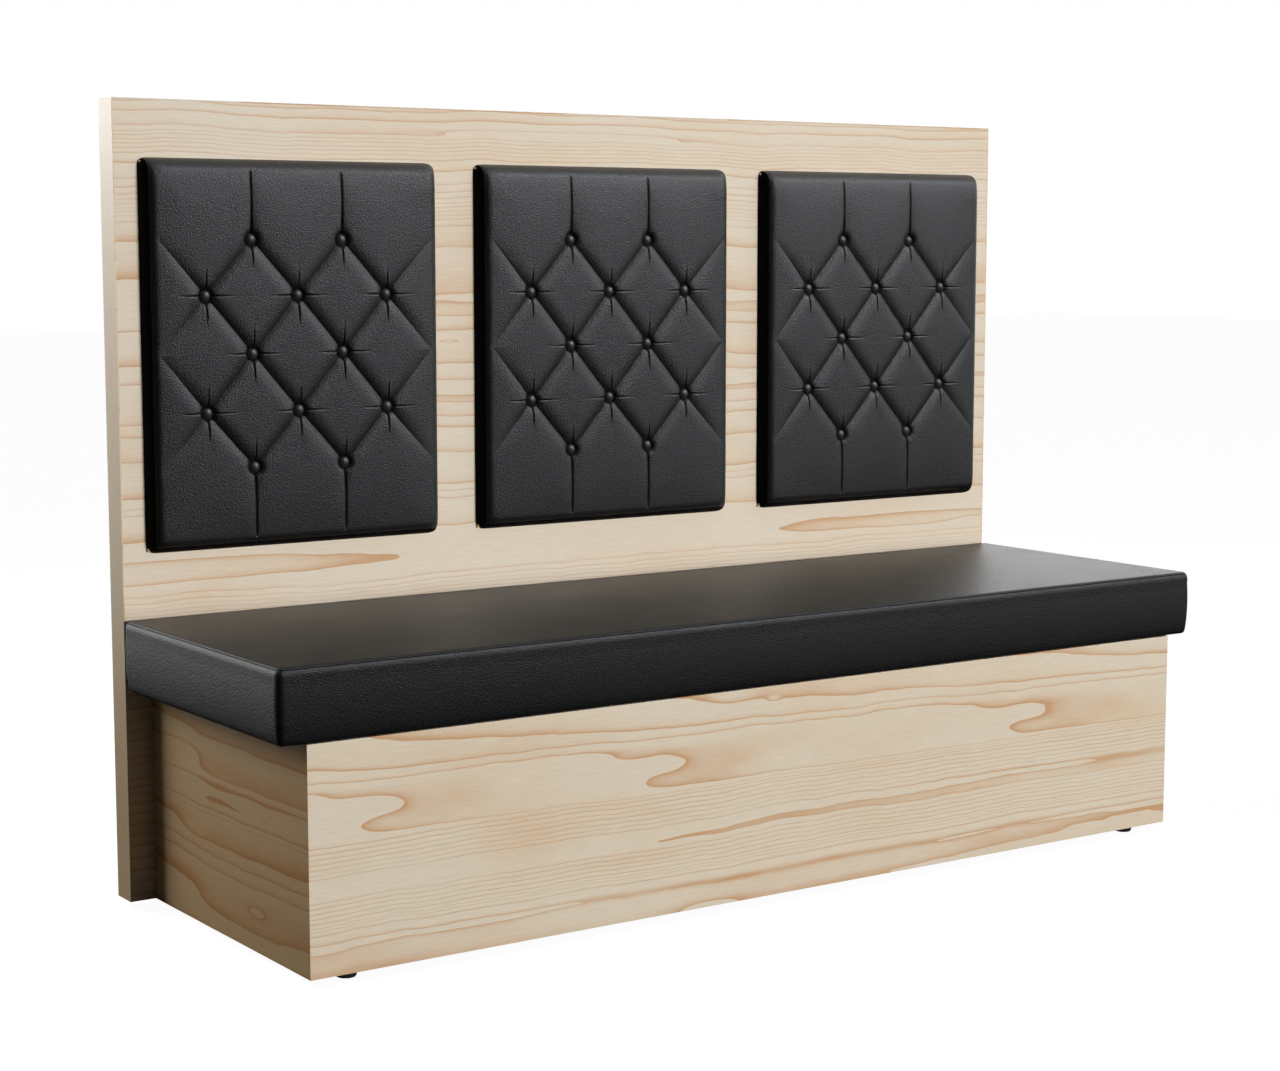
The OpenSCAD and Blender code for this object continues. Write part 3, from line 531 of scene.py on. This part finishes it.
def to_metres(p):
    """A place on the buttons' lattice in metres."""
    return np.array([p[0] * PITCH_X, p[1] * PITCH_Z])


def along_line(x, z, start, end):
    """Distance of points from a line, and how far along it their feet lie, from 0 to 1."""
    a, b = to_metres(start), to_metres(end)
    run = b - a
    t = np.clip(((x - a[0]) * run[0] + (z - a[1]) * run[1]) / (run @ run), 0.0, 1.0)
    return np.hypot(x - a[0] - t * run[0], z - a[1] - t * run[1]), t


def mirror_places(places):
    """Every mirror image of places in one quarter, once each."""
    return sorted({(sx * x, sz * z) for x, z in places for sx in (-1, 1) for sz in (-1, 1)})


def roll(distance, reach, power):
    """1 on a line, falling smoothly to 0 at its reach."""
    return np.maximum(0.0, 1.0 - distance / reach) ** power


def eased(share):
    """A share from 0 to 1 with a soft start and a soft end: 3 s^2 - 2 s^3."""
    return share * share * (3 - 2 * share)


EDGE_STEPS, GATHER, STEPS = 14, 0.42, 44


def half_axis(pitch, half):
    """Places from the middle to the edge: steps of the pitch up to the shoulder, gathered by a sine towards the
    lines that carry the buttons, then closer and closer ones down the rounded edge, at equal turns of its
    superellipse."""
    shoulder = half - EDGE_R
    lattice = np.arange(0, int(shoulder / pitch * STEPS)) / STEPS
    flat = pitch * (lattice - GATHER * np.sin(2 * np.pi * lattice) / (2 * np.pi))
    turn = np.sin(np.linspace(0, np.pi / 2, EDGE_STEPS + 1)) ** (2 / EDGE_POWER)
    return np.concatenate([flat, half - EDGE_R * (1 - turn)])


def pad_axis(pitch, half):
    """Signed places along one axis, from one side of the pad to the other."""
    place = half_axis(pitch, half)
    return np.concatenate([-place[:0:-1], place])


# %% The pad's surface
CREASE_D, CREASE_REACH, CREASE_POWER = 0.0063, 0.032, 3.5
LINE_D, LINE_REACH = 0.0020, 0.0026
PLEAT_SLOPE, PLEAT_HALF, PLEAT_TAPER, NARROW = 1.15, 0.0036, 0.65, 0.7
JOIN_POWER, CROWN_POWER = 4, 4
# creases start this far inside the outline, and have their full depth after this run
HOLD_START, HOLD_RUN = 0.008, 0.016
# a point lies in a fold's bottom if it is on its line, where the fold has these least sizes
ON_LINE, LEAST_HALF, LEAST_HOLD = 1e-7, 0.0008, 0.02


def pleats(x, z):
    """Depth of the short pleats: up, down and to both sides of each button, but not where a long crease runs and
    not to the sides of the outer rows. A pleat is a V of one slope whose half width shrinks along its length as
    (1 - t) to the power PLEAT_TAPER. Those that run up and sideways are narrower. Also returned is which points lie
    in the bottom of a pleat."""
    depth, bottom = np.zeros_like(x), np.zeros(x.shape, bool)
    for column, row in mirror_places(BUTTONS):
        runs = []
        if row < 2:
            runs.append((0.0, PLEAT_UP))
        if row > -2:
            runs.append((0.0, -PLEAT_DOWN))
        if abs(row) < 2:
            runs += [(PLEAT_ASIDE, 0.0), (-PLEAT_ASIDE, 0.0)]
        for run_x, run_z in runs:
            d, t = along_line(x, z, (column, row), (column + run_x / PITCH_X, row + run_z / PITCH_Z))
            half = PLEAT_HALF * (1 - t) ** PLEAT_TAPER * (NARROW if run_x or run_z > 0 else 1.0)
            depth = np.maximum(depth, PLEAT_SLOPE * (half - d))
            bottom |= (d < ON_LINE) & (half > LEAST_HALF)
    return depth, bottom


def pad_surface():
    """Points (x, z, height) of the tufted leather on its grid, and which of them lie in the bottom of a fold.

    The height over the panel is a superellipse of the inset from the outline, less a soft drop towards each side.
    Near a corner, points are drawn in until their two shares' power sum is the larger share, which rounds the
    outline. From the swollen top the creases are taken off, joined where they meet by the fourth root of the sum of
    their fourth powers, then the thin lines and the pleats. They fade out before the outline. Last the buttons pull
    the leather down to their seats, by the share 1 / (1 + (distance / BUTTON_PULL) ** PULL_POWER)."""
    px, pz = np.meshgrid(pad_axis(PITCH_X, HALF_W), pad_axis(PITCH_Z, HALF_H))
    share_x = np.maximum(0.0, 1 - (HALF_W - np.abs(px)) / ROUNDING)
    share_z = np.maximum(0.0, 1 - (HALF_H - np.abs(pz)) / ROUNDING)
    largest = np.maximum(share_x, share_z)
    spread = (share_x**CORNER_POWER + share_z**CORNER_POWER) ** (1 / CORNER_POWER)
    drawn = ROUNDING * (1 - largest / np.maximum(spread, 1e-9))
    x = px - np.sign(px) * share_x * drawn
    z = pz - np.sign(pz) * share_z * drawn
    ax, az = np.abs(x), np.abs(z)
    inset = ROUNDING * (1 - largest)
    edge = (1 - np.maximum(0.0, 1 - inset / EDGE_R) ** EDGE_POWER) ** (1 / EDGE_POWER)
    drop = DROP_SIDE * share_x**2 + np.where(z > 0, DROP_TOP, DROP_LOW) * share_z**2

    hold = eased(np.clip((inset - HOLD_START) / HOLD_RUN, 0, 1))
    total, bottom = np.zeros_like(x), np.zeros(x.shape, bool)
    for start, end, first, last in CREASES:
        d, t = along_line(ax, az, start, end)
        total += (CREASE_D * (first + (last - first) * t) * roll(d, CREASE_REACH, CREASE_POWER)) ** JOIN_POWER
        bottom |= d < ON_LINE
    thin, _ = along_line(ax, az, (1, 2), (1, 3.2))
    pleat, pleat_bottom = pleats(x, z)
    crease = total ** (1 / JOIN_POWER) + LINE_D * roll(thin, LINE_REACH, 1.0) + np.maximum(pleat, 0.0)

    crown = (1 - np.minimum(ax / SHOULDER_X, 1) ** CROWN_POWER) * (1 - np.minimum(az / SHOULDER_Z, 1) ** CROWN_POWER)
    top = (PAD_T - drop) * edge + CROWN * crown - crease * hold
    pull = np.zeros_like(x)
    for button in BUTTONS:
        cx, cz = to_metres(button)
        d = np.hypot(ax - cx, az - cz)
        pull = np.maximum(pull, 1 / (1 + (d / BUTTON_PULL) ** PULL_POWER))
    height = top * (1 - pull) + np.minimum(top, BUTTON_SEAT) * pull
    return x, z, height, (bottom | pleat_bottom) & (hold > LEAST_HOLD)


def grid_triangles(x, z):
    """Two triangles a cell, split along the crease that crosses it or would cross it."""
    rows, columns = x.shape
    j, i = np.meshgrid(np.arange(rows - 1), np.arange(columns - 1), indexing="ij")
    a = j * columns + i
    b, c, d = a + 1, a + columns + 1, a + columns
    mx = (x[:-1, :-1] + x[1:, 1:]) / 2 / PITCH_X
    mz = (z[:-1, :-1] + z[1:, 1:]) / 2 / PITCH_Z
    up = np.abs(np.mod(np.abs(mx - mz), 2) - 1)
    down = np.abs(np.mod(np.abs(mx + mz), 2) - 1)
    falls = down < up
    corner = (np.abs(mx) > (HALF_W - ROUNDING) / PITCH_X) & (np.abs(mz) > (HALF_H - ROUNDING) / PITCH_Z)
    falls = np.where(corner, mx * mz < 0, falls)
    first = np.where(falls[..., None], np.stack([a, b, d], -1), np.stack([a, b, c], -1))
    second = np.where(falls[..., None], np.stack([b, c, d], -1), np.stack([a, c, d], -1))
    return np.concatenate([first.reshape(-1, 3), second.reshape(-1, 3)])


def rim_numbers(rows, columns):
    """Point numbers round a grid's edge."""
    number = np.arange(rows * columns).reshape(rows, columns)
    return np.concatenate([number[0, :-1], number[:-1, -1], number[-1, :0:-1], number[:0:-1, 0]])


pad_x, pad_z, pad_height, pad_folds = pad_surface()
# the faces are split by where the points lie before they swell
grid_x, grid_z = pad_x, pad_z
print("pad grid", pad_x.shape, "height", pad_height.min(), pad_height.max(), "in folds", pad_folds.sum())

# %% [markdown]
# A sheet drawn by formulas is too even for leather over foam. So the pad's sheet is swollen as cloth: a coarse copy
# is held at its rim, in its creases and round its buttons, and blown up a little by pressure. How far each point
# moves is capped, faded out towards the rim, and carried back to the fine sheet.

# %% Cloth
def swollen(points, triangles, held, pressure, cap, frames=20):
    """How far each point moves when a sheet, held at some of its points, is blown up as cloth without gravity.
    Longer moves are shortened smoothly, to less than the cap."""
    mesh = bpy.data.meshes.new("cloth_trial")
    mesh.from_pydata(points.tolist(), [], triangles.tolist())
    trial = bpy.data.objects.new("cloth_trial", mesh)
    scene.collection.objects.link(trial)
    trial.vertex_groups.new(name="held").add(np.flatnonzero(held).tolist(), 1.0, "REPLACE")
    cloth = trial.modifiers.new("cloth", "CLOTH")
    cloth.settings.quality = 6
    cloth.settings.mass = 0.3
    cloth.settings.tension_stiffness = cloth.settings.compression_stiffness = 30
    cloth.settings.bending_stiffness = 3
    cloth.settings.vertex_group_mass = "held"
    cloth.settings.use_pressure = True
    cloth.settings.uniform_pressure_force = pressure
    cloth.settings.effector_weights.gravity = 0
    cloth.collision_settings.use_collision = False
    cloth.point_cache.frame_start, cloth.point_cache.frame_end = 1, frames
    for frame_number in range(1, frames + 1):
        scene.frame_set(frame_number)
    shown = trial.evaluated_get(bpy.context.evaluated_depsgraph_get())
    moved = np.empty(len(points) * 3)
    shown.data.vertices.foreach_get("co", moved)
    bpy.data.objects.remove(trial)
    bpy.data.meshes.remove(mesh)
    scene.frame_set(1)
    move = moved.reshape(-1, 3) - points
    length = np.linalg.norm(move, axis=1, keepdims=True)
    print("cloth: longest move", round(float(length.max()) * 1000, 2), "mm, capped at", cap * 1000)
    return move * cap * np.tanh(length / cap) / np.maximum(length, 1e-9)


def between(values, marks, count):
    """Values given on some lines of a grid, along its first axis, filled in smoothly on every line: a cubic through
    the four nearest marks."""
    line = np.arange(count)
    k = np.clip(np.searchsorted(marks, line, side="right") - 1, 0, len(marks) - 2)
    t = ((line - marks[k]) / (marks[k + 1] - marks[k])).reshape(-1, *[1] * (values.ndim - 1))
    a, b = values[np.maximum(k - 1, 0)], values[k]
    c, d = values[k + 1], values[np.minimum(k + 2, len(marks) - 1)]
    return b + t / 2 * (c - a + t * (2 * a - 5 * b + 4 * c - d + t * (3 * (b - c) + d - a)))


def coarse_lines(count, gap=4):
    """Every fourth line of a pad's axis, counted from its middle line, so that the lattice lines are kept."""
    middle = (count - 1) // 2
    half = np.append(np.arange(0, middle, gap), middle)
    return np.concatenate([middle - half[:0:-1], middle + half])


PRESSURE, MOVE_CAP = 1.2, 0.0030
SHOULDER_SHARE, HELD_ROUND_BUTTON = 0.999, 0.013
FADE_WIDTH, FADE_START = 0.045, 0.4

rows, columns = (coarse_lines(n) for n in pad_x.shape)
pick = np.ix_(rows, columns)
sheet = np.stack([pad_x[pick], -pad_height[pick], pad_z[pick]], -1)
near_rim = np.maximum(np.abs(pad_x[pick]) / SHOULDER_X, np.abs(pad_z[pick]) / SHOULDER_Z) > SHOULDER_SHARE
spots = np.array(mirror_places(BUTTONS)) * (PITCH_X, PITCH_Z)
gap = np.hypot(pad_x[pick][..., None] - spots[:, 0], pad_z[pick][..., None] - spots[:, 1]).min(-1)
held = pad_folds[pick] | near_rim | (gap < HELD_ROUND_BUTTON)
move = swollen(
    sheet.reshape(-1, 3), grid_triangles(pad_x[pick], pad_z[pick]), held.ravel(), PRESSURE, MOVE_CAP
).reshape(sheet.shape)
to_rim = np.minimum(HALF_W - np.abs(pad_x[pick]), HALF_H - np.abs(pad_z[pick]))
fade = eased(np.clip(to_rim / FADE_WIDTH - FADE_START, 0, 1))
move = move * fade[..., None]
move = between(move, rows, pad_x.shape[0])
move = between(move.swapaxes(0, 1), columns, pad_x.shape[1]).swapaxes(0, 1)
pad_x, pad_height, pad_z = pad_x + move[..., 0], pad_height - move[..., 1], pad_z + move[..., 2]
print("swollen pad height", pad_height.min(), pad_height.max())

# %% [markdown]
# The sheet is stood against the panel three times. Its outermost faces, on the left, right and lower sides, have a
# darker leather with almost no sheen: painted shade for the joint between pad and panel, where little light reaches.
# The buttons are balls that sit in the seats of the leather.

# %% Three pads with their buttons
WALL_Y = PAD_HIGH.y
LIFT, TUFT_RISE, TUFT_BEND, TUFT_LEFT, TUFT_POWER = 0.0012, 0.0019, 0.0019, 0.0044, 6


def raised(z):
    """Heights on the pad after its tufting is moved up: dz = fade * (rise + bend * sin(pi * z / (2 * pitch))), where
    the fade, 1 - |z / half| ** TUFT_POWER, is 1 in the middle and 0 at the top and bottom edges. The whole pad hangs
    a little high too."""
    fade = 1 - (np.abs(z) / HALF_H) ** TUFT_POWER
    return z + LIFT + fade * (TUFT_RISE + TUFT_BEND * np.sin(np.pi * z / (2 * PITCH_Z)))


def aside(x):
    """Places across the pad after its tufting is moved to the left, with the same kind of fade."""
    return x - TUFT_LEFT * (1 - (np.abs(x) / HALF_W) ** TUFT_POWER)


def standing(x, z, height, middle):
    """Pad points stood against the panel: across, out of the panel towards -Y, and up."""
    return np.stack([middle.x + aside(x).ravel(), WALL_Y - height.ravel(), middle.z + raised(z).ravel()], -1)


def sharpen(mesh, marked):
    """Makes an edge sharp where both its ends are marked, so that the leather breaks there in a clean line."""
    ends = np.empty(len(mesh.edges) * 2, int)
    mesh.edges.foreach_get("vertices", ends)
    sharp = marked[ends.reshape(-1, 2)].all(axis=1)
    mesh.attributes.new("sharp_edge", "BOOLEAN", "EDGE").data.foreach_set("value", sharp)
    print(mesh.name, "sharp edges", int(sharp.sum()))


# a ball's radius, and how far its centre stands out from the panel
BUTTON_R, BUTTON_N = 0.0107, 0.0222
# widths of the strips of darker leather, painted shade in the joint against the panel
LEFT_EDGE, RIGHT_EDGE, LOW_EDGE = 0.0075, 0.0045, 0.0085
BALL_SIDES, BALL_RINGS = 28, 14


def ball(centre):
    """A button: a ball with one point at each pole, as rings of points from the front pole to the rear one."""
    polar = np.linspace(0, np.pi, BALL_RINGS + 1)[1:-1]
    turn = np.linspace(0, 2 * np.pi, BALL_SIDES, endpoint=False)
    p, t = np.meshgrid(polar, turn, indexing="ij")
    ring = np.stack([np.sin(p) * np.cos(t), -np.cos(p), np.sin(p) * np.sin(t)], -1).reshape(-1, 3)
    points = np.concatenate([ring, [[0, -1, 0], [0, 1, 0]]]) * BUTTON_R
    return points + np.asarray(centre)


def ball_faces(start):
    """Quads between a ball's rings, and triangles at its poles."""
    rings = BALL_RINGS - 1
    k = np.arange(BALL_SIDES)
    m = (k + 1) % BALL_SIDES
    r = np.arange(rings - 1)[:, None] * BALL_SIDES
    quads = np.stack([r + k, r + m, r + BALL_SIDES + m, r + BALL_SIDES + k], -1).reshape(-1, 4)
    last = (rings - 1) * BALL_SIDES
    front = np.stack([np.full(BALL_SIDES, rings * BALL_SIDES), m, k], -1)
    rear = np.stack([np.full(BALL_SIDES, rings * BALL_SIDES + 1), last + k, last + m], -1)
    return quads + start, np.concatenate([front, rear]) + start


for side in ("left", "middle", "right"):
    low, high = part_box(side + "_pad_cover")
    middle = (low + high) / 2
    rows, columns = pad_x.shape
    points = standing(pad_x, pad_z, pad_height, middle)
    faces = grid_triangles(grid_x, grid_z)
    rim = rim_numbers(rows, columns)
    centre = len(points)
    points = np.concatenate([points, [[middle.x, WALL_Y, middle.z]]])
    back = np.stack([np.roll(rim, -1), rim, np.full(len(rim), centre)], -1)
    cushion = piece(
        side + "_pad_leather", points, [faces, back], pad_leather, "bench",
        (side + "_pad_cover", side + "_pad_foam"),
    )
    sharpen(cushion.data, np.append(pad_folds.ravel(), False))
    corner_x, corner_z = grid_x.ravel()[faces], grid_z.ravel()[faces]
    # the outer strips on the left, right and lower sides take the darker leather, as painted shade
    in_shade_strip = (corner_x.min(1) < LEFT_EDGE - HALF_W) | (corner_x.max(1) > HALF_W - RIGHT_EDGE)
    in_shade_strip |= corner_z.min(1) < LOW_EDGE - HALF_H
    cushion.data.materials.append(shade_strip_leather)
    index = np.append(in_shade_strip, np.zeros(len(rim), bool)).astype(int)
    cushion.data.polygons.foreach_set("material_index", index)

    places = np.array(mirror_places(BUTTONS)) * (PITCH_X, PITCH_Z)
    spots = [(middle.x + aside(x), WALL_Y - BUTTON_N, middle.z + raised(z)) for x, z in places]
    balls = np.concatenate([ball(spot) for spot in spots])
    size = len(balls) // len(spots)
    groups = [g for n in range(len(spots)) for g in ball_faces(n * size)]
    piece(
        side + "_pad_button_balls", balls, groups, lit_button_leather, "bench",
        (side + "_pad_buttons",),
    )

# %% [markdown]
# ## The seat cushion
# The seat is one long cushion: a top panel and an upright boxing, sewn together with a turned seam just below the
# top edge. One profile from the underside to the middle of the top is carried round the cushion's outline.

# %% Seat profile and outline
SEAT_LOW, SEAT_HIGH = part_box("seat_cover")
SEAT_PROUD_X, SEAT_PROUD_Y, SEAT_SHIFT_X = 0.0065, 0.003, 0.0035
SEAT_X = (SEAT_HIGH.x - SEAT_LOW.x) / 2 + SEAT_PROUD_X
SEAT_Y = (SEAT_HIGH.y - SEAT_LOW.y + SEAT_PROUD_Y) / 2
SEAT_MID_Y = (SEAT_HIGH.y + SEAT_LOW.y - SEAT_PROUD_Y) / 2
SEAT_Z = SEAT_LOW.z
SEAT_T = SEAT_HIGH.z - SEAT_LOW.z
CORNER_R, LEAST_R = 0.013, 0.003
# millimetres and degrees, for the profile
POCKET, SEAT_CROWN = 1.5, 0.7
UNDER_RUN, UNDER_RISE = 7.2, 7.0
HEAD_R, HEAD_END = 18.0, 33
LIP_R, LIP_START, LIP_MIDDLE = 8.0, 42, 10.6
GROOVE_OUT, GROOVE_DOWN = 0.85, 1.15


def seat_profile():
    """(inset, height) from the underside's pocket, round the boxing and the seam's groove, over the rounded lip and
    in to the middle line of the top. The boxing leans back along an arc to the seam, and the lip is a tighter arc
    above it; between the two lies the groove. All is in millimetres, and is returned in metres."""
    under = [(25.0, POCKET), (25.0, 0.0), (18.0, 0.0), (12.5, 0.0)]
    turns = np.radians(np.arange(10, 81, 10))
    turn = [(11 - UNDER_RUN * np.sin(a), UNDER_RISE - UNDER_RISE * np.cos(a)) for a in turns]
    boxing = [(3.0, 10), (2.2, 16), (1.35, 24), (0.6, 34), (0.2, 44), (0.0, 54), (0.0, 62), (0.2, 72), (0.6, 82)]
    boxing += [(1.2, 91)]
    top = SEAT_T * 1000 - SEAT_CROWN
    turns = np.radians(np.arange(LIP_START, 91, 6))
    lip = [(LIP_MIDDLE - LIP_R * np.cos(a), top - LIP_R + LIP_R * np.sin(a)) for a in turns]
    x, z = lip[0][0] - GROOVE_OUT, lip[0][1] - GROOVE_DOWN
    turns = np.radians(np.arange(3, HEAD_END + 1, 3))
    last = turns[-1]
    head = [(x + HEAD_R * (np.cos(last) - np.cos(a)), z - HEAD_R * (np.sin(last) - np.sin(a))) for a in turns]
    groove = [(x + 0.5, z - 0.1), (x + 1.7, z - 0.7), (x + 2.3, z - 0.3), (x + 1.4, z + 0.7)]
    flat = [(12, 0.02), (17, 0.06), (24, 0.12), (34, 0.2), (48, 0.3), (66, 0.4), (88, 0.5), (112, 0.57), (138, 0.62)]
    flat += [(166, 0.66), (196, 0.69), (228, 0.7), (SEAT_Y * 1000, SEAT_CROWN)]
    crown = [(inset, top + rise) for inset, rise in flat]
    return np.array(under + turn + boxing + head + groove + lip + crown) / 1000


CORNER_STEPS, LONG_STEPS, SHORT_STEPS = 12, 150, 45


def rounded_outline(inset):
    """Points of the outline drawn in by an inset, anticlockwise seen from above: four arcs and four straight runs
    with the same number of points at any inset."""
    radius = max(CORNER_R - inset, LEAST_R * max(1 - inset / SEAT_Y, 0))
    arcs, runs = [], []
    for sx, sy, first in [(1, 1, 0), (-1, 1, 90), (-1, -1, 180), (1, -1, 270)]:
        a = np.radians(first + np.linspace(0, 90, CORNER_STEPS + 1))
        centre = np.array([sx * (SEAT_X - inset - radius), sy * (SEAT_Y - inset - radius)])
        arcs.append(centre + radius * np.stack([np.cos(a), np.sin(a)], -1))
    for k, steps in enumerate((LONG_STEPS, SHORT_STEPS, LONG_STEPS, SHORT_STEPS)):
        start, end = arcs[k][-1], arcs[(k + 1) % 4][0]
        share = np.arange(1, steps)[:, None] / steps
        runs += [arcs[k], start + (end - start) * share]
    return np.concatenate(runs)


def carried(profile):
    """The profile carried round the outline: one ring of points for each profile point."""
    size = len(rounded_outline(0.0))
    rings = [np.column_stack([rounded_outline(inset), np.full(size, height)]) for inset, height in profile]
    return np.array(rings) + np.array([SEAT_SHIFT_X, SEAT_MID_Y, SEAT_Z])


def ring_faces(rings, size):
    """Quads between rings, and a fan that closes the first ring."""
    k = np.arange(size)
    m = (k + 1) % size
    r = np.arange(rings - 1)[:, None] * size
    quads = np.stack([r + k, r + m, r + size + m, r + size + k], -1).reshape(-1, 4)
    pocket = np.stack([m, k, np.full(size, rings * size)], -1)
    return quads, pocket


# %% Seat piece
seat_rings = carried(seat_profile())
count, size, _ = seat_rings.shape
pocket_middle = [SEAT_SHIFT_X, SEAT_MID_Y, SEAT_Z + POCKET / 1000]
seat_points = np.concatenate([seat_rings.reshape(-1, 3), [pocket_middle]])
print("seat rings", seat_rings.shape)
seat = piece(
    "seat_leather_cover", seat_points, ring_faces(count, size), seat_leather, "bench",
    ("seat_cover", "seat_foam"),
)

# %% [markdown]
# ## Studio
# The floor and the surround are white where the camera sees them, but dim for matt surfaces, so that they give little
# light of their own. In glossy surfaces the floor glows in two patches, ahead of the bench and behind it, and the
# surround is bright low behind, in front on the right, and overhead. That makes the sheens of the leather. A large,
# far key light stands in front on the right and lights matt surfaces alone, a high card shows in glossy ones alone,
# and a lamp on each side behind does both.

# %% Floor
FLOOR_MATT, FLOOR_MIRRORED, FLOOR_SEEN = (0.08, 0.08, 0.078, 1), grey(0.02), grey(0.20)
SEEN_GLOW = 0.95
floor_mesh = bpy.data.meshes.new("studio_floor")
reach = 25.0
corners = [(-reach, -reach, 0), (reach, -reach, 0), (reach, reach, 0), (-reach, reach, 0)]
floor_mesh.from_pydata(corners, [], [(0, 1, 2, 3)])
floor = bpy.data.objects.new("studio_floor", floor_mesh)
scene.collection.objects.link(floor)
floor_material, tree, shader = new_material("studio_floor", 0.9, 0.0)
paths = add(tree, "ShaderNodeLightPath").outputs
seen = paths["Is Camera Ray"]
spot = add(tree, "ShaderNodeSeparateXYZ", {0: add(tree, "ShaderNodeTexCoord").outputs["Object"]}).outputs
ahead = ramp(tree, calc(tree, "MULTIPLY", spot["Y"], -1.0), 1.0, 2.4, 0.0, 0.7)
ahead = calc(tree, "MULTIPLY", ahead, ramp(tree, spot["X"], -1.6, 0.6, 0.0, 1.0))
patches = calc(tree, "ADD", ahead, ramp(tree, spot["Y"], 1.2, 5.5, 0.0, 1.2))
mirror = paths["Is Glossy Ray"]
pale = mixed(tree, mirror, FLOOR_MATT, FLOOR_MIRRORED)
tree.links.new(mixed(tree, seen, pale, FLOOR_SEEN), shader.inputs["Base Color"])
shader.inputs["Emission Color"].default_value = (1, 1, 1, 1)
glow = calc(tree, "MULTIPLY_ADD", seen, SEEN_GLOW, calc(tree, "MULTIPLY", mirror, patches))
tree.links.new(glow, shader.inputs["Emission Strength"])
floor_mesh.materials.append(floor_material)

# %% World
world = bpy.data.worlds.new("studio_world")
scene.world = world
world.use_nodes = True
tree = world.node_tree
tree.nodes.clear()
paths = add(tree, "ShaderNodeLightPath").outputs
mirror = calc(tree, "MAXIMUM", paths["Is Glossy Ray"], paths["Is Transmission Ray"])
way = add(tree, "ShaderNodeSeparateXYZ", {0: add(tree, "ShaderNodeTexCoord").outputs["Generated"]}).outputs

# brightness by direction: X to the right, Y to the rear, Z up
low_sky = ramp(tree, way["Z"], 0.15, 0.60, 2.5, 0.45)
high_sky = ramp(tree, way["Z"], 0.60, 0.95, 1.0, 0.45)
top_sky = ramp(tree, way["Z"], 0.70, 0.90, 0.0, 0.7)
behind = calc(tree, "MULTIPLY", ramp(tree, way["Y"], -0.15, 0.35, 0.0, 1.0), low_sky)
behind = calc(tree, "MULTIPLY", behind, ramp(tree, way["X"], -0.95, -0.65, 0.03, 1.0))
right = ramp(tree, way["X"], 0.0, 0.75, 0.01, 2.1)
front = ramp(tree, way["Y"], -0.55, -0.10, 1.0, 0.12)
right = calc(tree, "MULTIPLY", right, front)
surround = calc(tree, "MAXIMUM", behind, calc(tree, "MULTIPLY", right, high_sky))
surround = calc(tree, "MAXIMUM", surround, top_sky)
# matt surfaces get only this share of the surround's light, and the camera sees it white
MATT_SHARE = 0.20
level = calc(tree, "MAXIMUM", mirror, MATT_SHARE)
level = calc(tree, "MULTIPLY", surround, level)
level = calc(tree, "MAXIMUM", level, paths["Is Camera Ray"])
background = add(tree, "ShaderNodeBackground", {"Color": (1, 1, 1, 1), "Strength": level})
add(tree, "ShaderNodeOutputWorld", {"Surface": background.outputs[0]})


# %% Lamps
def softbox(name, place, aim, width, height, radiance, lights=True, mirrored=True):
    """A rectangular lamp at a place, turned to an aim. Its power is its radiance times pi times its area. Where
    lights is true, it lights matt surfaces, and where mirrored is true, it shows in glossy ones."""
    data = bpy.data.lights.new(name, "AREA")
    data.shape, data.size, data.size_y = "RECTANGLE", width, height
    data.energy = radiance * np.pi * width * height
    lamp = bpy.data.objects.new(name, data)
    scene.collection.objects.link(lamp)
    lamp.location = place
    lamp.visible_diffuse = lights
    lamp.visible_glossy = mirrored
    run = np.array(aim, float) - np.array(place, float)
    yaw = np.arctan2(run[0], -run[1])
    pitch = np.arctan2(np.hypot(run[0], run[1]), -run[2])
    lamp.rotation_euler = (pitch, 0.0, yaw + np.pi)
    print(name, "at", place, "power", round(data.energy))


softbox("key_softbox", (2.3, -10.5, 1.0), (-0.4, 0.0, 0.7), 3.6, 1.8, 48.5, mirrored=False)
softbox("high_card", (2.1, -2.6, 3.5), (0.0, 0.1, 0.8), 3.8, 1.7, 10.5, lights=False)
softbox("left_rear_softbox", (-2.5, 2.7, 2.2), (-0.9, 0.2, 0.8), 2.0, 2.0, 5.5)
softbox("right_rear_softbox", (3.6, 2.9, 1.7), (0.8, 0.0, 0.5), 2.4, 1.8, 0.5)
